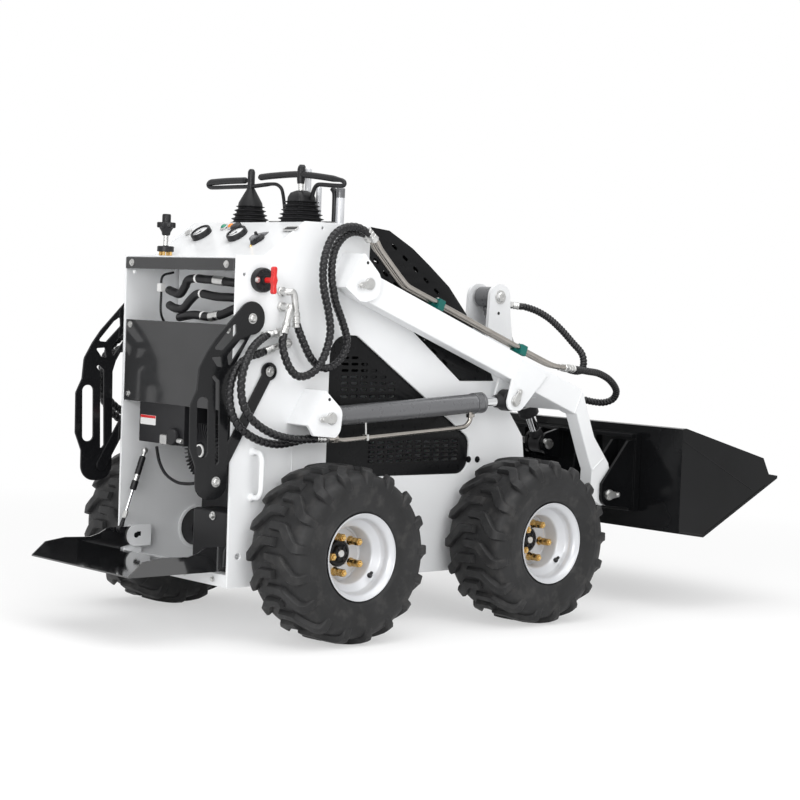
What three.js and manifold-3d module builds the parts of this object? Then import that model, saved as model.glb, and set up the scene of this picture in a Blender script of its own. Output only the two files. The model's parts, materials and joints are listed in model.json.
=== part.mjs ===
// Stand-on mini skid steer loader with four driven wheels, a lift arm and a bucket.
// Millimetres, +Z up. The bucket is at -Y, the operator's platform at +Y, and the
// machine's right side is at -X. Places along Y are counted from midway between the
// axles; the last lines move the whole machine so that its origin is the middle of
// its footprint on the ground.

import * as THREE from "three";
import { mergeVertices } from "three/addons/utils/BufferGeometryUtils.js";
import Module from "manifold-3d";

const wasm = await Module();
wasm.setup();

// ---------------------------------------------------------------- driving sizes
const GAP = 0.3; // between pieces that touch
const WHEELBASE = 728;
const TYRE_RADIUS = 242.5;
const TYRE_WIDTH = 231;
const AXLE_Z = 242.5; // height of the axles as drawn; larger tyres lift the whole machine
const RIM_RADIUS = 119; // over the flanges of an 8 inch rim
const RIM_HALF = 107; // half the width of the rim, over its flanges
const SIDE_X = 267; // outer face of a side plate
const SIDE_T = 8;
const BODY_IN = SIDE_X - SIDE_T; // inner face of a side plate
const WHEEL_X = SIDE_X + 21 + TYRE_WIDTH / 2; // middle of a tyre, from the machine's middle
const BODY_BOTTOM = 144;
const REAR_Y = 636; // rear edge of the side plates
const FRONT_Y = -478; // front edge of the side plates
const DECK_BACK = 1038; // height of the side plates' rear corner
const DECK_TOP = 1142; // height of the top panel
const ARM_WIDTH = 50;
const ARM_IN = SIDE_X + 26; // inner and outer face of an arm
const ARM_OUT = ARM_IN + ARM_WIDTH;
const ARM_MID = ARM_IN + ARM_WIDTH / 2;
const LUG_T = 8; // plates that hold the lift cylinder's eye
const BRACKET_IN = ARM_OUT + 9; // inner face of the brackets on the side plates
const BRACKET_T = 10;
const PIN_R = 16;
const PIN_PLAY = 0.6; // round a pin, in a hole that turns on it
const BARREL_R = 28; // lift cylinder
const ROD_R = 15;
const TILT_BARREL_R = 30;
const TILT_ROD_R = 17;
const BUCKET_HALF = 530;
const BUCKET_T = 8;
const HOSE_R = 11.5; // hydraulic hose with its spiral guard
const LINE_R = 7; // steel hydraulic line

// Pins, as [y, z]
const ARM_PIVOT = [250, 977];
const LIFT_REAR = [368, 606];
const LIFT_FRONT = [-346, 651];
const BUCKET_PIN = [-770, 356];
const TOWER_PIN = [-558, 959];
const TILT_PIN = [-815, 490];
const PLATFORM_HINGE = [592, 230];
const SPRING_TOP = [576, 475];
const SPRING_FOOT = [651, 250];
const SPRING_X = BODY_IN - 34;
const SPRING_R = 9;

const CUTTING_EDGE_Y = -1388;
const PLATFORM_END = 930;
const ORIGIN_Y = (CUTTING_EDGE_Y + PLATFORM_END) / 2;

const WHITE = [0xe9e9e7, 0.35, 0.1];
const BLACK = [0x17181a, 0.45, 0.2];
const RUBBER = [0x2b2b2c, 0.9, 0];
const STEEL = [0xb9bcc0, 0.3, 0.9];
const GUNMETAL = [0x55575c, 0.35, 0.6];
const HOSE = [0x1b1b1d, 0.6, 0];
const SILVER = [0xc9cbce, 0.35, 0.3];

// ---------------------------------------------------------------- helpers
const toSolid = (geometry) => {
  const bare = geometry.clone();
  bare.deleteAttribute("normal");
  bare.deleteAttribute("uv");
  const merged = mergeVertices(bare, 1e-3);
  return new wasm.Manifold(
    new wasm.Mesh({
      numProp: 3,
      vertProperties: Float32Array.from(merged.attributes.position.array),
      triVerts: Uint32Array.from(merged.index.array),
    }),
  );
};

const toGeometry = (solid) => {
  const mesh = solid.getMesh();
  const geometry = new THREE.BufferGeometry();
  geometry.setAttribute("position", new THREE.BufferAttribute(mesh.vertProperties, 3));
  geometry.setIndex(new THREE.BufferAttribute(mesh.triVerts, 1));
  return geometry;
};

const join = (...geometries) =>
  toGeometry(geometries.map(toSolid).reduce((a, b) => a.add(b)));

const cut = (geometry, ...tools) =>
  toGeometry(tools.map(toSolid).reduce((a, b) => a.subtract(b), toSolid(geometry)));

// A closed outline of [a, b] or [a, b, radius] corners; a radius rounds its corner.
const outline = (corners, steps = 5) => {
  const points = [];
  corners.forEach(([a, b, radius = 0], i) => {
    const corner = new THREE.Vector2(a, b);
    if (!radius) return points.push(corner);
    const before = new THREE.Vector2(...corners.at(i - 1).slice(0, 2));
    const after = new THREE.Vector2(...corners[(i + 1) % corners.length].slice(0, 2));
    const u = before.sub(corner).normalize();
    const v = after.sub(corner).normalize();
    const half = Math.acos(THREE.MathUtils.clamp(u.dot(v), -1, 1)) / 2;
    const centre = u.clone().add(v).normalize().multiplyScalar(radius / Math.sin(half));
    const from = u.clone().multiplyScalar(radius / Math.tan(half)).sub(centre);
    const to = v.clone().multiplyScalar(radius / Math.tan(half)).sub(centre);
    const start = from.angle();
    let turn = to.angle() - start;
    if (turn > Math.PI) turn -= 2 * Math.PI;
    if (turn < -Math.PI) turn += 2 * Math.PI;
    for (let k = 0; k <= steps; k++) {
      const angle = start + (turn * k) / steps;
      points.push(
        new THREE.Vector2(Math.cos(angle), Math.sin(angle))
          .multiplyScalar(radius)
          .add(centre)
          .add(corner),
      );
    }
  });
  return points;
};

const extrude = (corners, depth, steps) =>
  new THREE.ExtrudeGeometry(new THREE.Shape(outline(corners, steps)), {
    depth,
    bevelEnabled: false,
    curveSegments: 1,
  });

// A plate across the machine: its outline is [y, z], and it spans x0 to x1.
const plateX = (corners, x0, x1, steps) => {
  const geometry = extrude(corners, Math.abs(x1 - x0), steps);
  const frame = new THREE.Matrix4().set(
    0, 0, 1, Math.min(x0, x1),
    1, 0, 0, 0,
    0, 1, 0, 0,
    0, 0, 0, 1,
  );
  return geometry.applyMatrix4(frame);
};

const boxOf = (x0, x1, y0, y1, z0, z1) =>
  new THREE.BoxGeometry(Math.abs(x1 - x0), Math.abs(y1 - y0), Math.abs(z1 - z0)).translate(
    (x0 + x1) / 2,
    (y0 + y1) / 2,
    (z0 + z1) / 2,
  );

// A round bar from one point to another.
const bar = (from, to, radius, sides = 16, endRadius = radius) => {
  const a = new THREE.Vector3(...from);
  const b = new THREE.Vector3(...to);
  const along = b.clone().sub(a);
  const turn = new THREE.Quaternion().setFromUnitVectors(
    new THREE.Vector3(0, 1, 0),
    along.clone().normalize(),
  );
  return new THREE.CylinderGeometry(endRadius, radius, along.length(), sides)
    .applyQuaternion(turn)
    .translate(...a.add(b).divideScalar(2));
};

const pinX = ([y, z], x0, x1, radius, sides = 16) => bar([x0, y, z], [x1, y, z], radius, sides);

// A solid of revolution about X: its profile is closed, as [x, radius].
const turned = (profile, sides) =>
  new THREE.LatheGeometry(
    [...profile, profile[0]].map(([x, r]) => new THREE.Vector2(r, -x)),
    sides,
    Math.PI / sides,
  ).rotateZ(Math.PI / 2);

// A bent round line through points, with its bends rounded.
const line = (points, radius, sides = 8, steps = 24, tension = 0.5) => {
  const path = new THREE.CatmullRomCurve3(
    points.map((p) => new THREE.Vector3(...p)),
    false,
    "catmullrom",
    tension,
  );
  const ring = new THREE.Shape(
    Array.from({ length: sides }, (_, i) => {
      const angle = (2 * Math.PI * i) / sides;
      return new THREE.Vector2(radius * Math.cos(angle), radius * Math.sin(angle));
    }),
  );
  return new THREE.ExtrudeGeometry(ring, { steps, extrudePath: path, bevelEnabled: false });
};

// The outline of a flat strap with round ends, between two [y, z] points.
const strap = ([ay, az], [by, bz], half) => {
  const along = new THREE.Vector2(by - ay, bz - az).normalize().multiplyScalar(half);
  const round = half * 0.98;
  return [
    [ay - along.x - along.y, az - along.y + along.x, round],
    [ay - along.x + along.y, az - along.y - along.x, round],
    [by + along.x + along.y, bz + along.y - along.x, round],
    [by + along.x - along.y, bz + along.y + along.x, round],
  ];
};

const machine = new THREE.Group();
const bodies = {};
const add = (body, name, geometry, [color, roughness, metalness]) => {
  bodies[body] ??= new THREE.Group();
  machine.add(bodies[body]);
  const mesh = new THREE.Mesh(
    geometry,
    new THREE.MeshStandardMaterial({ color, roughness, metalness }),
  );
  mesh.name = name;
  bodies[body].add(mesh);
  return mesh;
};

const SIDES = [
  ["right", -1],
  ["left", 1],
];

// ---------------------------------------------------------------- chassis
const AXLES = [
  ["front", -WHEELBASE / 2],
  ["rear", WHEELBASE / 2],
];
const AXLE_R = 32;
const NOSE_TOP = 705; // top of the front cover

// Side plates: the tall console at the back, the pivot post, the sloping brace
// down to the low nose, and the big cooling window.
const NOSE = [
  [-350, NOSE_TOP],
  [-413, 606],
  [-468, 537],
  [FRONT_Y, 464],
];
const sideOutline = [
  [REAR_Y - 4, BODY_BOTTOM],
  [REAR_Y, DECK_BACK],
  [543, DECK_BACK + 3],
  [406, DECK_TOP, 10],
  [170, DECK_TOP, 4],
  [173, 978],
  [-197, NOSE_TOP],
  ...NOSE,
  [FRONT_Y, 190],
  [FRONT_Y + 46, BODY_BOTTOM],
];
const coolingWindow = [
  [303, 432, 24],
  [303, 833, 58],
  [205, 832, 26],
  [-246, 535, 40],
  [-243, 430, 46],
];
// Bulkhead fittings: where each one leaves the plate, how far out it bends, and the
// elbow's two ends.
const PORTS = {
  tiltBase: { at: [484, 946], out: SIDE_X + 35, bend: [466, 940], end: [456, 880] },
  tiltRod: { at: [482, 905], out: SIDE_X + 42, bend: [485, 897], end: [496, 852] },
  liftRod: { at: [488, 834], out: SIDE_X + 17, bend: [500, 836], end: [522, 831] },
  liftBase: { at: [460, 807], out: SIDE_X + 17, bend: [476, 806], end: [528, 789] },
};

const sidePlate = (side) => {
  const outer = side * SIDE_X;
  const inner = side * BODY_IN;
  let plate = cut(
    plateX(sideOutline, inner, outer, 3),
    plateX(coolingWindow, side * (BODY_IN - 4), side * (SIDE_X + 4), 6),
    ...AXLES.map(([, y]) =>
      pinX([y, AXLE_Z], side * (BODY_IN - 4), side * (SIDE_X + 4), AXLE_R + 2 * GAP, 24),
    ),
  );
  const ports = side < 0 ? Object.values(PORTS) : [PORTS.liftBase, PORTS.liftRod];
  for (const { at, out, bend, end } of ports)
    plate = join(
      plate,
      pinX(at, side * (BODY_IN + 2), side * (out - 4), 12, 10),
      line(
        [
          [side * (out - 8), ...at],
          [side * out, ...bend],
          [side * out, ...end],
        ],
        9,
        8,
        6,
      ),
    );
  if (side > 0) plate = join(plate, pinX(SPRING_TOP, BODY_IN + 2, SPRING_X + SPRING_R + GAP, 6, 10));
  return plate;
};
for (const [name, side] of SIDES) add("chassis", `side_plate_${name}`, sidePlate(side), WHITE);

// Belly pan with the rear sill, and the two round tabs that carry the platform.
const TAB_OUT = BODY_IN - 5;
const TAB_IN = TAB_OUT - 8;
const DECK_HALF = TAB_IN - 4; // half the platform's width
const FLANGE_T = 4;
const BELLY_T = 8;
const SILL_TOP = 178;
const bellyPan = join(
  boxOf(-BODY_IN + GAP, BODY_IN - GAP, FRONT_Y + 40, REAR_Y - 6, BODY_BOTTOM, BODY_BOTTOM + BELLY_T),
  boxOf(-BODY_IN + GAP, BODY_IN - GAP, 560, REAR_Y - 6, BODY_BOTTOM, SILL_TOP),
  ...SIDES.flatMap(([, side]) => [
    plateX(
      [
        [PLATFORM_HINGE[0] - 30, SILL_TOP - 6],
        [PLATFORM_HINGE[0] + 30, SILL_TOP - 6],
        [PLATFORM_HINGE[0] + 30, PLATFORM_HINGE[1] + 30, 28],
        [PLATFORM_HINGE[0] - 30, PLATFORM_HINGE[1] + 30, 28],
      ],
      side * TAB_IN,
      side * TAB_OUT,
    ),
    pinX(PLATFORM_HINGE, side * (DECK_HALF - FLANGE_T - 8), side * (TAB_OUT - 1), 8, 16),
  ]),
);
add("chassis", "belly_pan", bellyPan, WHITE);

// Folded front cover, from the belly up over the nose to the hood.
const COVER_T = 5;
const frontCover = plateX(
  [
    [FRONT_Y, BODY_BOTTOM + BELLY_T + 12],
    [FRONT_Y, 464],
    [-468, 537],
    [-413, 606],
    [-350, NOSE_TOP],
    [-222, NOSE_TOP],
    [-222, NOSE_TOP - COVER_T],
    [-347, NOSE_TOP - COVER_T],
    [-409, 603],
    [-463, 535],
    [FRONT_Y + COVER_T, 464],
    [FRONT_Y + COVER_T, BODY_BOTTOM + BELLY_T + 12],
  ],
  -BODY_IN + GAP,
  BODY_IN - GAP,
);
add("chassis", "front_cover", frontCover, WHITE);

// Perforated engine hood between the arms, open below and at the back.
const HOOD_HALF = BODY_IN - 4;
const HOOD_T = 3;
const HOOD_BACK = 166;
const HOOD_FOOT = NOSE_TOP + GAP;
const hoodOutline = (inset, foot, back) => [
  [back, foot],
  [back, DECK_TOP - 5 - inset],
  [91, 1130 - inset],
  [0, 1084 - inset],
  [-69 + inset / 2, 1037 - inset],
  [-148 + inset / 2, 979 - inset],
  [-221 + inset, 902 - inset],
  [-300 + inset, 790 - inset],
  [-344 + inset, foot],
];
const hood = cut(
  plateX(hoodOutline(0, HOOD_FOOT, HOOD_BACK), -HOOD_HALF, HOOD_HALF),
  plateX(hoodOutline(HOOD_T, HOOD_FOOT - 9, HOOD_BACK + 9), -HOOD_HALF + HOOD_T, HOOD_HALF - HOOD_T),
);
add("chassis", "hood", hood, BLACK);

// Operator's console: rear ledge, sloping dash and top panel in one folded sheet.
const PANEL_T = 4;
const DASH_TOP_Y = 404;
const consolePanel = plateX(
  [
    [REAR_Y - 2, DECK_BACK - 4],
    [543, DECK_BACK],
    [DASH_TOP_Y, DECK_TOP - 2],
    [HOOD_BACK + 4, DECK_TOP - 2],
    [HOOD_BACK + 4, DECK_TOP - 2 - PANEL_T],
    [DASH_TOP_Y - 2, DECK_TOP - 2 - PANEL_T],
    [541, DECK_BACK - PANEL_T],
    [REAR_Y - 2, DECK_BACK - 4 - PANEL_T],
  ],
  -BODY_IN + GAP,
  BODY_IN - GAP,
);
add("chassis", "console_panel", consolePanel, WHITE);

const COVER_X = BODY_IN - GAP;
add(
  "chassis",
  "rear_top_bar",
  boxOf(-COVER_X, COVER_X, REAR_Y - 12, REAR_Y + 3, 997, DECK_BACK - 8 - GAP),
  BLACK,
);
const REAR_COVER_Y = REAR_Y - 4;
const REAR_COVER_T = 5;
add(
  "chassis",
  "rear_cover",
  boxOf(-COVER_X, COVER_X, REAR_COVER_Y - REAR_COVER_T, REAR_COVER_Y, 620, 852),
  BLACK,
);

// Engine as one block over the rear axle, on a foot that stands on the belly pan,
// with its round recoil starter at the back.
const ENGINE_BACK = 400;
const STARTER = [-77, 499];
const STARTER_R = 74;
const engine = join(
  boxOf(-185, 185, 70, ENGINE_BACK, 290, 620),
  boxOf(-120, 120, 90, 320, BODY_BOTTOM + BELLY_T + GAP, 300),
  bar([STARTER[0], ENGINE_BACK - 5, STARTER[1]], [STARTER[0], 590, STARTER[1]], STARTER_R, 24),
);
add("chassis", "engine_block", engine, BLACK);

const fuelBox = boxOf(-38, 182, 520, REAR_COVER_Y - REAR_COVER_T - GAP, 508, 660);
const starterBay = bar(
  [STARTER[0], 500, STARTER[1]],
  [STARTER[0], 600, STARTER[1]],
  STARTER_R + 8,
  24,
);
add("chassis", "fuel_tank", cut(fuelBox, starterBay), BLACK);
add("chassis", "battery_box", boxOf(-212, -55, 512, 600, SILL_TOP + GAP, 342), BLACK);

const ventPanel = (side) =>
  plateX(
    [
      [318, 416],
      [318, 848],
      [200, 848],
      [-262, 550],
      [-262, 416],
    ],
    side * (BODY_IN - GAP),
    side * (BODY_IN - GAP - 3),
  );
for (const [name, side] of SIDES) add("chassis", `vent_panel_${name}`, ventPanel(side), BLACK);

// Brackets: a rear web folded out of the side plate, an outer plate and the pin.
const BRACKET_OUT = BRACKET_IN + BRACKET_T;
const WEB_T = 8;
const PIN_HEAD = 6;
const bracket = (side, plate, webTop, webFoot, pin) => {
  const along = new THREE.Vector2(webFoot[0] - webTop[0], webFoot[1] - webTop[1]).normalize();
  const [ny, nz] = [along.y * WEB_T, -along.x * WEB_T];
  const web = [
    webTop,
    webFoot,
    [webFoot[0] + ny, webFoot[1] + nz],
    [webTop[0] + ny, webTop[1] + nz],
  ];
  return join(
    plateX(web, side * (SIDE_X + GAP), side * (BRACKET_IN + 2)),
    plateX(plate, side * BRACKET_IN, side * BRACKET_OUT),
    pinX(pin, side * (SIDE_X + GAP), side * (BRACKET_OUT + PIN_HEAD), PIN_R),
  );
};
const armBracketPlate = [
  [269, 1060],
  [207, 1000, 30],
  [212, 940, 34],
  [259, 927],
  [282, 929],
  [334, 966],
];
const liftBracketPlate = [
  [390, 682],
  [328, 628, 30],
  [334, 562, 36],
  [352, 553],
  [427, 559],
  [448, 588],
];
for (const [name, side] of SIDES) {
  add(
    "chassis",
    `arm_bracket_${name}`,
    bracket(side, armBracketPlate, [269, 1060], [334, 966], ARM_PIVOT),
    WHITE,
  );
  add(
    "chassis",
    `lift_bracket_${name}`,
    bracket(side, liftBracketPlate, [390, 682], [448, 588], LIFT_REAR),
    WHITE,
  );
}

// Hip guards beside the operator, each with its brace bar and a hand slot.
const GUARD_IN = SIDE_X + 9;
const GUARD_T = 6;
const GUARD_BOLT = [588, 871];
const guardOutline = [
  [546, 829, 43],
  [546, 917, 43],
  [608, 917, 43],
  [704, 818],
  [731, 782],
  [757, 737],
  [762, 679],
  [781, 640],
  [779, 525],
  [758, 475],
  [757, 388, 44],
  [652, 388, 44],
  [655, 480],
  [660, 700],
  [650, 731],
  [591, 827],
];
const handSlot = [
  [760, 661, 16],
  [724, 661, 16],
  [719, 501, 16],
  [755, 501, 16],
];
const guardCuts = [
  [
    [712, 787, 4],
    [661, 844, 4],
    [640, 858, 4],
    [638, 831, 4],
    [685, 785, 4],
  ],
  [
    [719, 766, 3],
    [688, 768, 3],
    [683, 740, 3],
    [699, 742, 3],
  ],
  [
    [667, 770, 3],
    [625, 814, 3],
    [607, 814, 3],
    [662, 742, 3],
  ],
  [
    [715, 713, 3],
    [708, 719, 3],
    [690, 704, 3],
    [682, 489, 3],
    [694, 476, 3],
    [702, 699, 3],
  ],
];
const hipGuard = (side) => {
  const inner = side * GUARD_IN;
  const outer = side * (GUARD_IN + GUARD_T);
  const reach = [side * (GUARD_IN - 3), side * (GUARD_IN + GUARD_T + 3)];
  const plate = cut(
    plateX(guardOutline, inner, outer, 4),
    plateX(handSlot, ...reach, 4),
    ...guardCuts.map((corners) => plateX(corners, ...reach, 2)),
  );
  const brace = plateX(
    strap([519, 729], [693, 432], 17),
    side * (SIDE_X + 2.5),
    side * (GUARD_IN + 0.5),
  );
  return join(
    plate,
    brace,
    pinX([519, 729], side * (SIDE_X + 2.5), side * (GUARD_IN + 0.5), 25, 20),
    pinX(GUARD_BOLT, side * (SIDE_X + GAP), side * (GUARD_IN + 1), 14),
    pinX([519, 728], side * (SIDE_X + GAP), side * (GUARD_IN - 2), 14),
  );
};
for (const [name, side] of SIDES) add("chassis", `hip_guard_${name}`, hipGuard(side), BLACK);

const HANDLE_R = 7;
const HANDLE_OUT = 42;
const HANDLE_Y = 560;
const HANDLE_LENGTH = 124;
const HANDLE_FOOT_Z = 388 + 1.5 * (TYRE_RADIUS - AXLE_Z); // stays clear of a larger tyre
const HANDLE_HEAD_Z = HANDLE_FOOT_Z + HANDLE_LENGTH;
const grabHandle = (side) =>
  line(
    [
      [side * (SIDE_X + GAP), HANDLE_Y, HANDLE_FOOT_Z],
      [side * (SIDE_X + 18), HANDLE_Y, HANDLE_FOOT_Z],
      [side * (SIDE_X + HANDLE_OUT - 6), HANDLE_Y, HANDLE_FOOT_Z + 8],
      [side * (SIDE_X + HANDLE_OUT), HANDLE_Y, HANDLE_FOOT_Z + 26],
      [side * (SIDE_X + HANDLE_OUT), HANDLE_Y, HANDLE_HEAD_Z - 26],
      [side * (SIDE_X + HANDLE_OUT - 6), HANDLE_Y, HANDLE_HEAD_Z - 8],
      [side * (SIDE_X + 18), HANDLE_Y, HANDLE_HEAD_Z],
      [side * (SIDE_X + GAP), HANDLE_Y, HANDLE_HEAD_Z],
    ],
    HANDLE_R,
    8,
    14,
  );
for (const [name, side] of SIDES) add("chassis", `grab_handle_${name}`, grabHandle(side), WHITE);

const ISOLATOR = [555, 975];
const isolator = join(
  pinX(ISOLATOR, -(SIDE_X + GAP), -(SIDE_X + 22), 34),
  pinX(ISOLATOR, -(SIDE_X + 20), -(SIDE_X + 40), 12, 16),
  boxOf(-(SIDE_X + 32), -(SIDE_X + 44), ISOLATOR[0] - 8, ISOLATOR[0] + 8, 937, 1013),
);
add("chassis", "battery_isolator", isolator, BLACK);

// Control levers on the top panel: bellows, stick and handle bar.
const PANEL_Z = DECK_TOP - 2 + GAP;
const LEVER_Y = 345;
const driveLever = (x, barFrom, barTo, barZ) =>
  join(
    bar([x, LEVER_Y, PANEL_Z], [x, LEVER_Y, 1232], 52, 20, 20),
    bar([x, LEVER_Y, 1225], [x, LEVER_Y, 1297], 8, 12),
    bar([barFrom, LEVER_Y, barZ], [barTo, LEVER_Y, barZ], 8, 12),
  );
add("chassis", "drive_lever_left", driveLever(62, 15, 275, 1268), BLACK);
add("chassis", "drive_lever_right", driveLever(-168, -345, -22, 1268), BLACK);
const BANK_TOP = PANEL_Z + 8;
const leverBank = join(
  boxOf(-228, -30, 258, 290, PANEL_Z, BANK_TOP),
  boxOf(-80, -2, 258, 330, PANEL_Z, BANK_TOP),
  bar([-210, 274, BANK_TOP - 2], [-210, 274, 1238], 12, 14),
  bar([-36, 312, BANK_TOP - 2], [-36, 312, 1294], 7, 12),
);
add("chassis", "lever_bank", leverBank, STEEL);
const fillerPost = join(
  bar([165, 568, DECK_BACK + GAP], [165, 568, 1048], 24, 20),
  bar([165, 568, 1047], [165, 568, 1110], 8, 14),
  bar([165, 568, 1096], [165, 568, 1132], 19, 20),
  bar([165, 568, 1131], [165, 568, 1140], 8, 12),
  bar([165, 568, 1139], [165, 568, 1155], 23, 20),
);
add("chassis", "filler_post", fillerPost, BLACK);

// Wheel motors and their through tube, one assembly per axle.
const DISC_X = -2; // a rim's disc starts this far outboard of the tyre's middle
const HUB_FACE = WHEEL_X + DISC_X - 13.5;
const MOTOR_R = 56; // motor body inside the side plate
for (const [name, y] of AXLES) {
  const axle = join(
    pinX([y, AXLE_Z], -HUB_FACE, HUB_FACE, AXLE_R, 24),
    ...SIDES.map(([, side]) =>
      pinX([y, AXLE_Z], side * (SIDE_X + GAP), side * (SIDE_X + 34), 62),
    ),
    ...SIDES.map(([, side]) =>
      pinX([y, AXLE_Z], side * (BODY_IN - GAP), side * (BODY_IN - 60), MOTOR_R),
    ),
  );
  add("chassis", `wheel_motors_${name}`, axle, GUNMETAL);
}

// ---------------------------------------------------------------- wheels
const HALF_TYRE = TYRE_WIDTH / 2;
const RIM_BED = 104;
const WHEEL_SIDES = 24;
const FLAT = 1 / Math.cos(Math.PI / WHEEL_SIDES); // a flat of the tyre lies at its radius
const LOW_WALL = RIM_RADIUS + 23; // radii where a sidewall starts to bulge and to turn in
const HIGH_WALL = TYRE_RADIUS - 52.5;
const tyreProfile = [
  [RIM_HALF - 7, RIM_RADIUS + GAP],
  [HALF_TYRE - 4, LOW_WALL],
  [HALF_TYRE, HIGH_WALL],
  [HALF_TYRE - 22, TYRE_RADIUS * FLAT],
  [-HALF_TYRE + 22, TYRE_RADIUS * FLAT],
  [-HALF_TYRE, HIGH_WALL],
  [-HALF_TYRE + 4, LOW_WALL],
  [-RIM_HALF + 7, RIM_RADIUS + GAP],
  [-RIM_HALF + 19, RIM_BED + GAP],
  [RIM_HALF - 19, RIM_BED + GAP],
];
const RIM_WALL = 5;
const HUB_R = 36;
const WELL_R = 78; // drop centre of the rim, which holds the disc
const rimProfile = [
  [RIM_HALF, RIM_RADIUS],
  [RIM_HALF - 18, RIM_BED],
  [-RIM_HALF + 18, RIM_BED],
  [-RIM_HALF, RIM_RADIUS],
  [-RIM_HALF, RIM_RADIUS - RIM_WALL],
  [-RIM_HALF + 16, RIM_BED - RIM_WALL],
  [-RIM_HALF + 39, RIM_BED - RIM_WALL],
  [-RIM_HALF + 55, WELL_R],
  [DISC_X, WELL_R],
  [DISC_X, HUB_R - 4],
  [DISC_X + 8, HUB_R - 4],
  [DISC_X + 8, WELL_R - 3],
  [RIM_HALF - 55, WELL_R],
  [RIM_HALF - 39, RIM_BED - RIM_WALL],
  [RIM_HALF - 16, RIM_BED - RIM_WALL],
  [RIM_HALF, RIM_RADIUS - RIM_WALL],
];
for (const [end, y] of AXLES)
  for (const [name, side] of SIDES) {
    const body = `wheel_${end}_${name}`;
    const place = (mesh) => {
      mesh.rotation.y = side < 0 ? Math.PI : 0;
      mesh.position.set(side * WHEEL_X, y, AXLE_Z);
    };
    place(add(body, `tyre_${end}_${name}`, turned(tyreProfile, WHEEL_SIDES), RUBBER));
    const hub = join(
      turned(rimProfile, WHEEL_SIDES),
      pinX([0, 0], HUB_FACE + GAP - WHEEL_X, DISC_X + 14, HUB_R, WHEEL_SIDES),
    );
    place(add(body, `rim_${end}_${name}`, hub, SILVER));
  }

// ---------------------------------------------------------------- lift arm
const ARM_END_R = 41;
const armOutline = [
  [ARM_PIVOT[0] + ARM_END_R, 1003, 38],
  [ARM_PIVOT[0] + ARM_END_R, 946, 38],
  [255, 934],
  [-612, 611],
  [-624, 608],
  [-679, 482],
  [-703, 433],
  [-700, 366],
  [-722, 336],
  [-752, 322],
  [BUCKET_PIN[0] - 40, 322, 34],
  [BUCKET_PIN[0] - 40, 372],
  [-786, 428],
  [-778, 455],
  [-709, 537],
  [-695, 568],
  [-647, 684, 8],
  [195, 998],
  [255, 1019],
];
const lugOutline = [
  [-332, 712],
  [LIFT_FRONT[0] + 31, LIFT_FRONT[1] - 2],
  [LIFT_FRONT[0] + 26, LIFT_FRONT[1] - 30, 24],
  [LIFT_FRONT[0] - 24, LIFT_FRONT[1] - 30, 22],
  [-384, 632],
  [-482, 728],
  [-366, 772],
];
const arm = (side) => {
  const beam = cut(
    join(
      plateX(armOutline, side * ARM_IN, side * ARM_OUT, 6),
      pinX(ARM_PIVOT, side * (SIDE_X + 4), side * (BRACKET_IN - 3), 30),
    ),
    pinX(ARM_PIVOT, side * SIDE_X, side * (BRACKET_IN + 4), PIN_R + PIN_PLAY),
    pinX(BUCKET_PIN, side * (ARM_IN - 4), side * (ARM_OUT + 4), PIN_R + PIN_PLAY),
  );
  return join(
    beam,
    plateX(lugOutline, side * (ARM_OUT - 1), side * (ARM_OUT + LUG_T)),
    plateX(lugOutline, side * (ARM_IN + 1), side * (ARM_IN - LUG_T)),
    pinX(LIFT_FRONT, side * (ARM_OUT + LUG_T - 1), side * (ARM_OUT + LUG_T + PIN_HEAD), PIN_R),
  );
};
for (const [name, side] of SIDES) add("lift_arm", `arm_${name}`, arm(side), WHITE);

// Cross member between the arms, with the two ears of the tilt tower.
const EAR_IN = 42;
const EAR_OUT = 54;
const crossOutline = [
  [-505, 738],
  [-505, 655],
  [-604, 618],
  [-604, 700],
];
const earOutline = [
  [-503, 730],
  [-512, 905],
  [TOWER_PIN[0] + 42, TOWER_PIN[1] + 41, 40],
  [TOWER_PIN[0] - 42, TOWER_PIN[1] + 41, 40],
  [-606, 900],
  [-624, 800],
  [-604, 694],
];
const crossMember = join(
  plateX(crossOutline, -ARM_IN + GAP, ARM_IN - GAP),
  ...SIDES.map(([, side]) => plateX(earOutline, side * EAR_IN, side * EAR_OUT, 8)),
  pinX(TOWER_PIN, -(EAR_OUT + PIN_HEAD), EAR_OUT + PIN_HEAD, PIN_R),
);
add("lift_arm", "arm_cross_member", crossMember, WHITE);

// Two steel lines along the right arm, held by clamps.
const LINE_X = -(ARM_IN + 7);
const LINE_SPREAD = 12.5;
const LINE_ROUTE = [
  [200, 1107],
  [184, 1096],
  [166, 1072],
  [75, 986],
  [40, 968],
  [-61, 931],
  [-404, 805],
  [-522, 763],
  [-560, 754],
  [-606, 749],
];
const lineAt = (x) => line(LINE_ROUTE.map(([y, z]) => [x, y, z]), LINE_R, 6, 18, 0.2);
const clampAt = (y, z) =>
  boxOf(LINE_X - 24, LINE_X + 24, y - 12, y + 12, z - 24, z + 12);
const armLines = join(
  lineAt(LINE_X - LINE_SPREAD),
  lineAt(LINE_X + LINE_SPREAD),
  clampAt(-61, 931),
  clampAt(-404, 805),
);
const armTop = plateX(armOutline, -ARM_IN + GAP, -ARM_OUT - GAP, 6).translate(0, 0, GAP);
add("lift_arm", "arm_lines", cut(armLines, armTop), STEEL);

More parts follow.
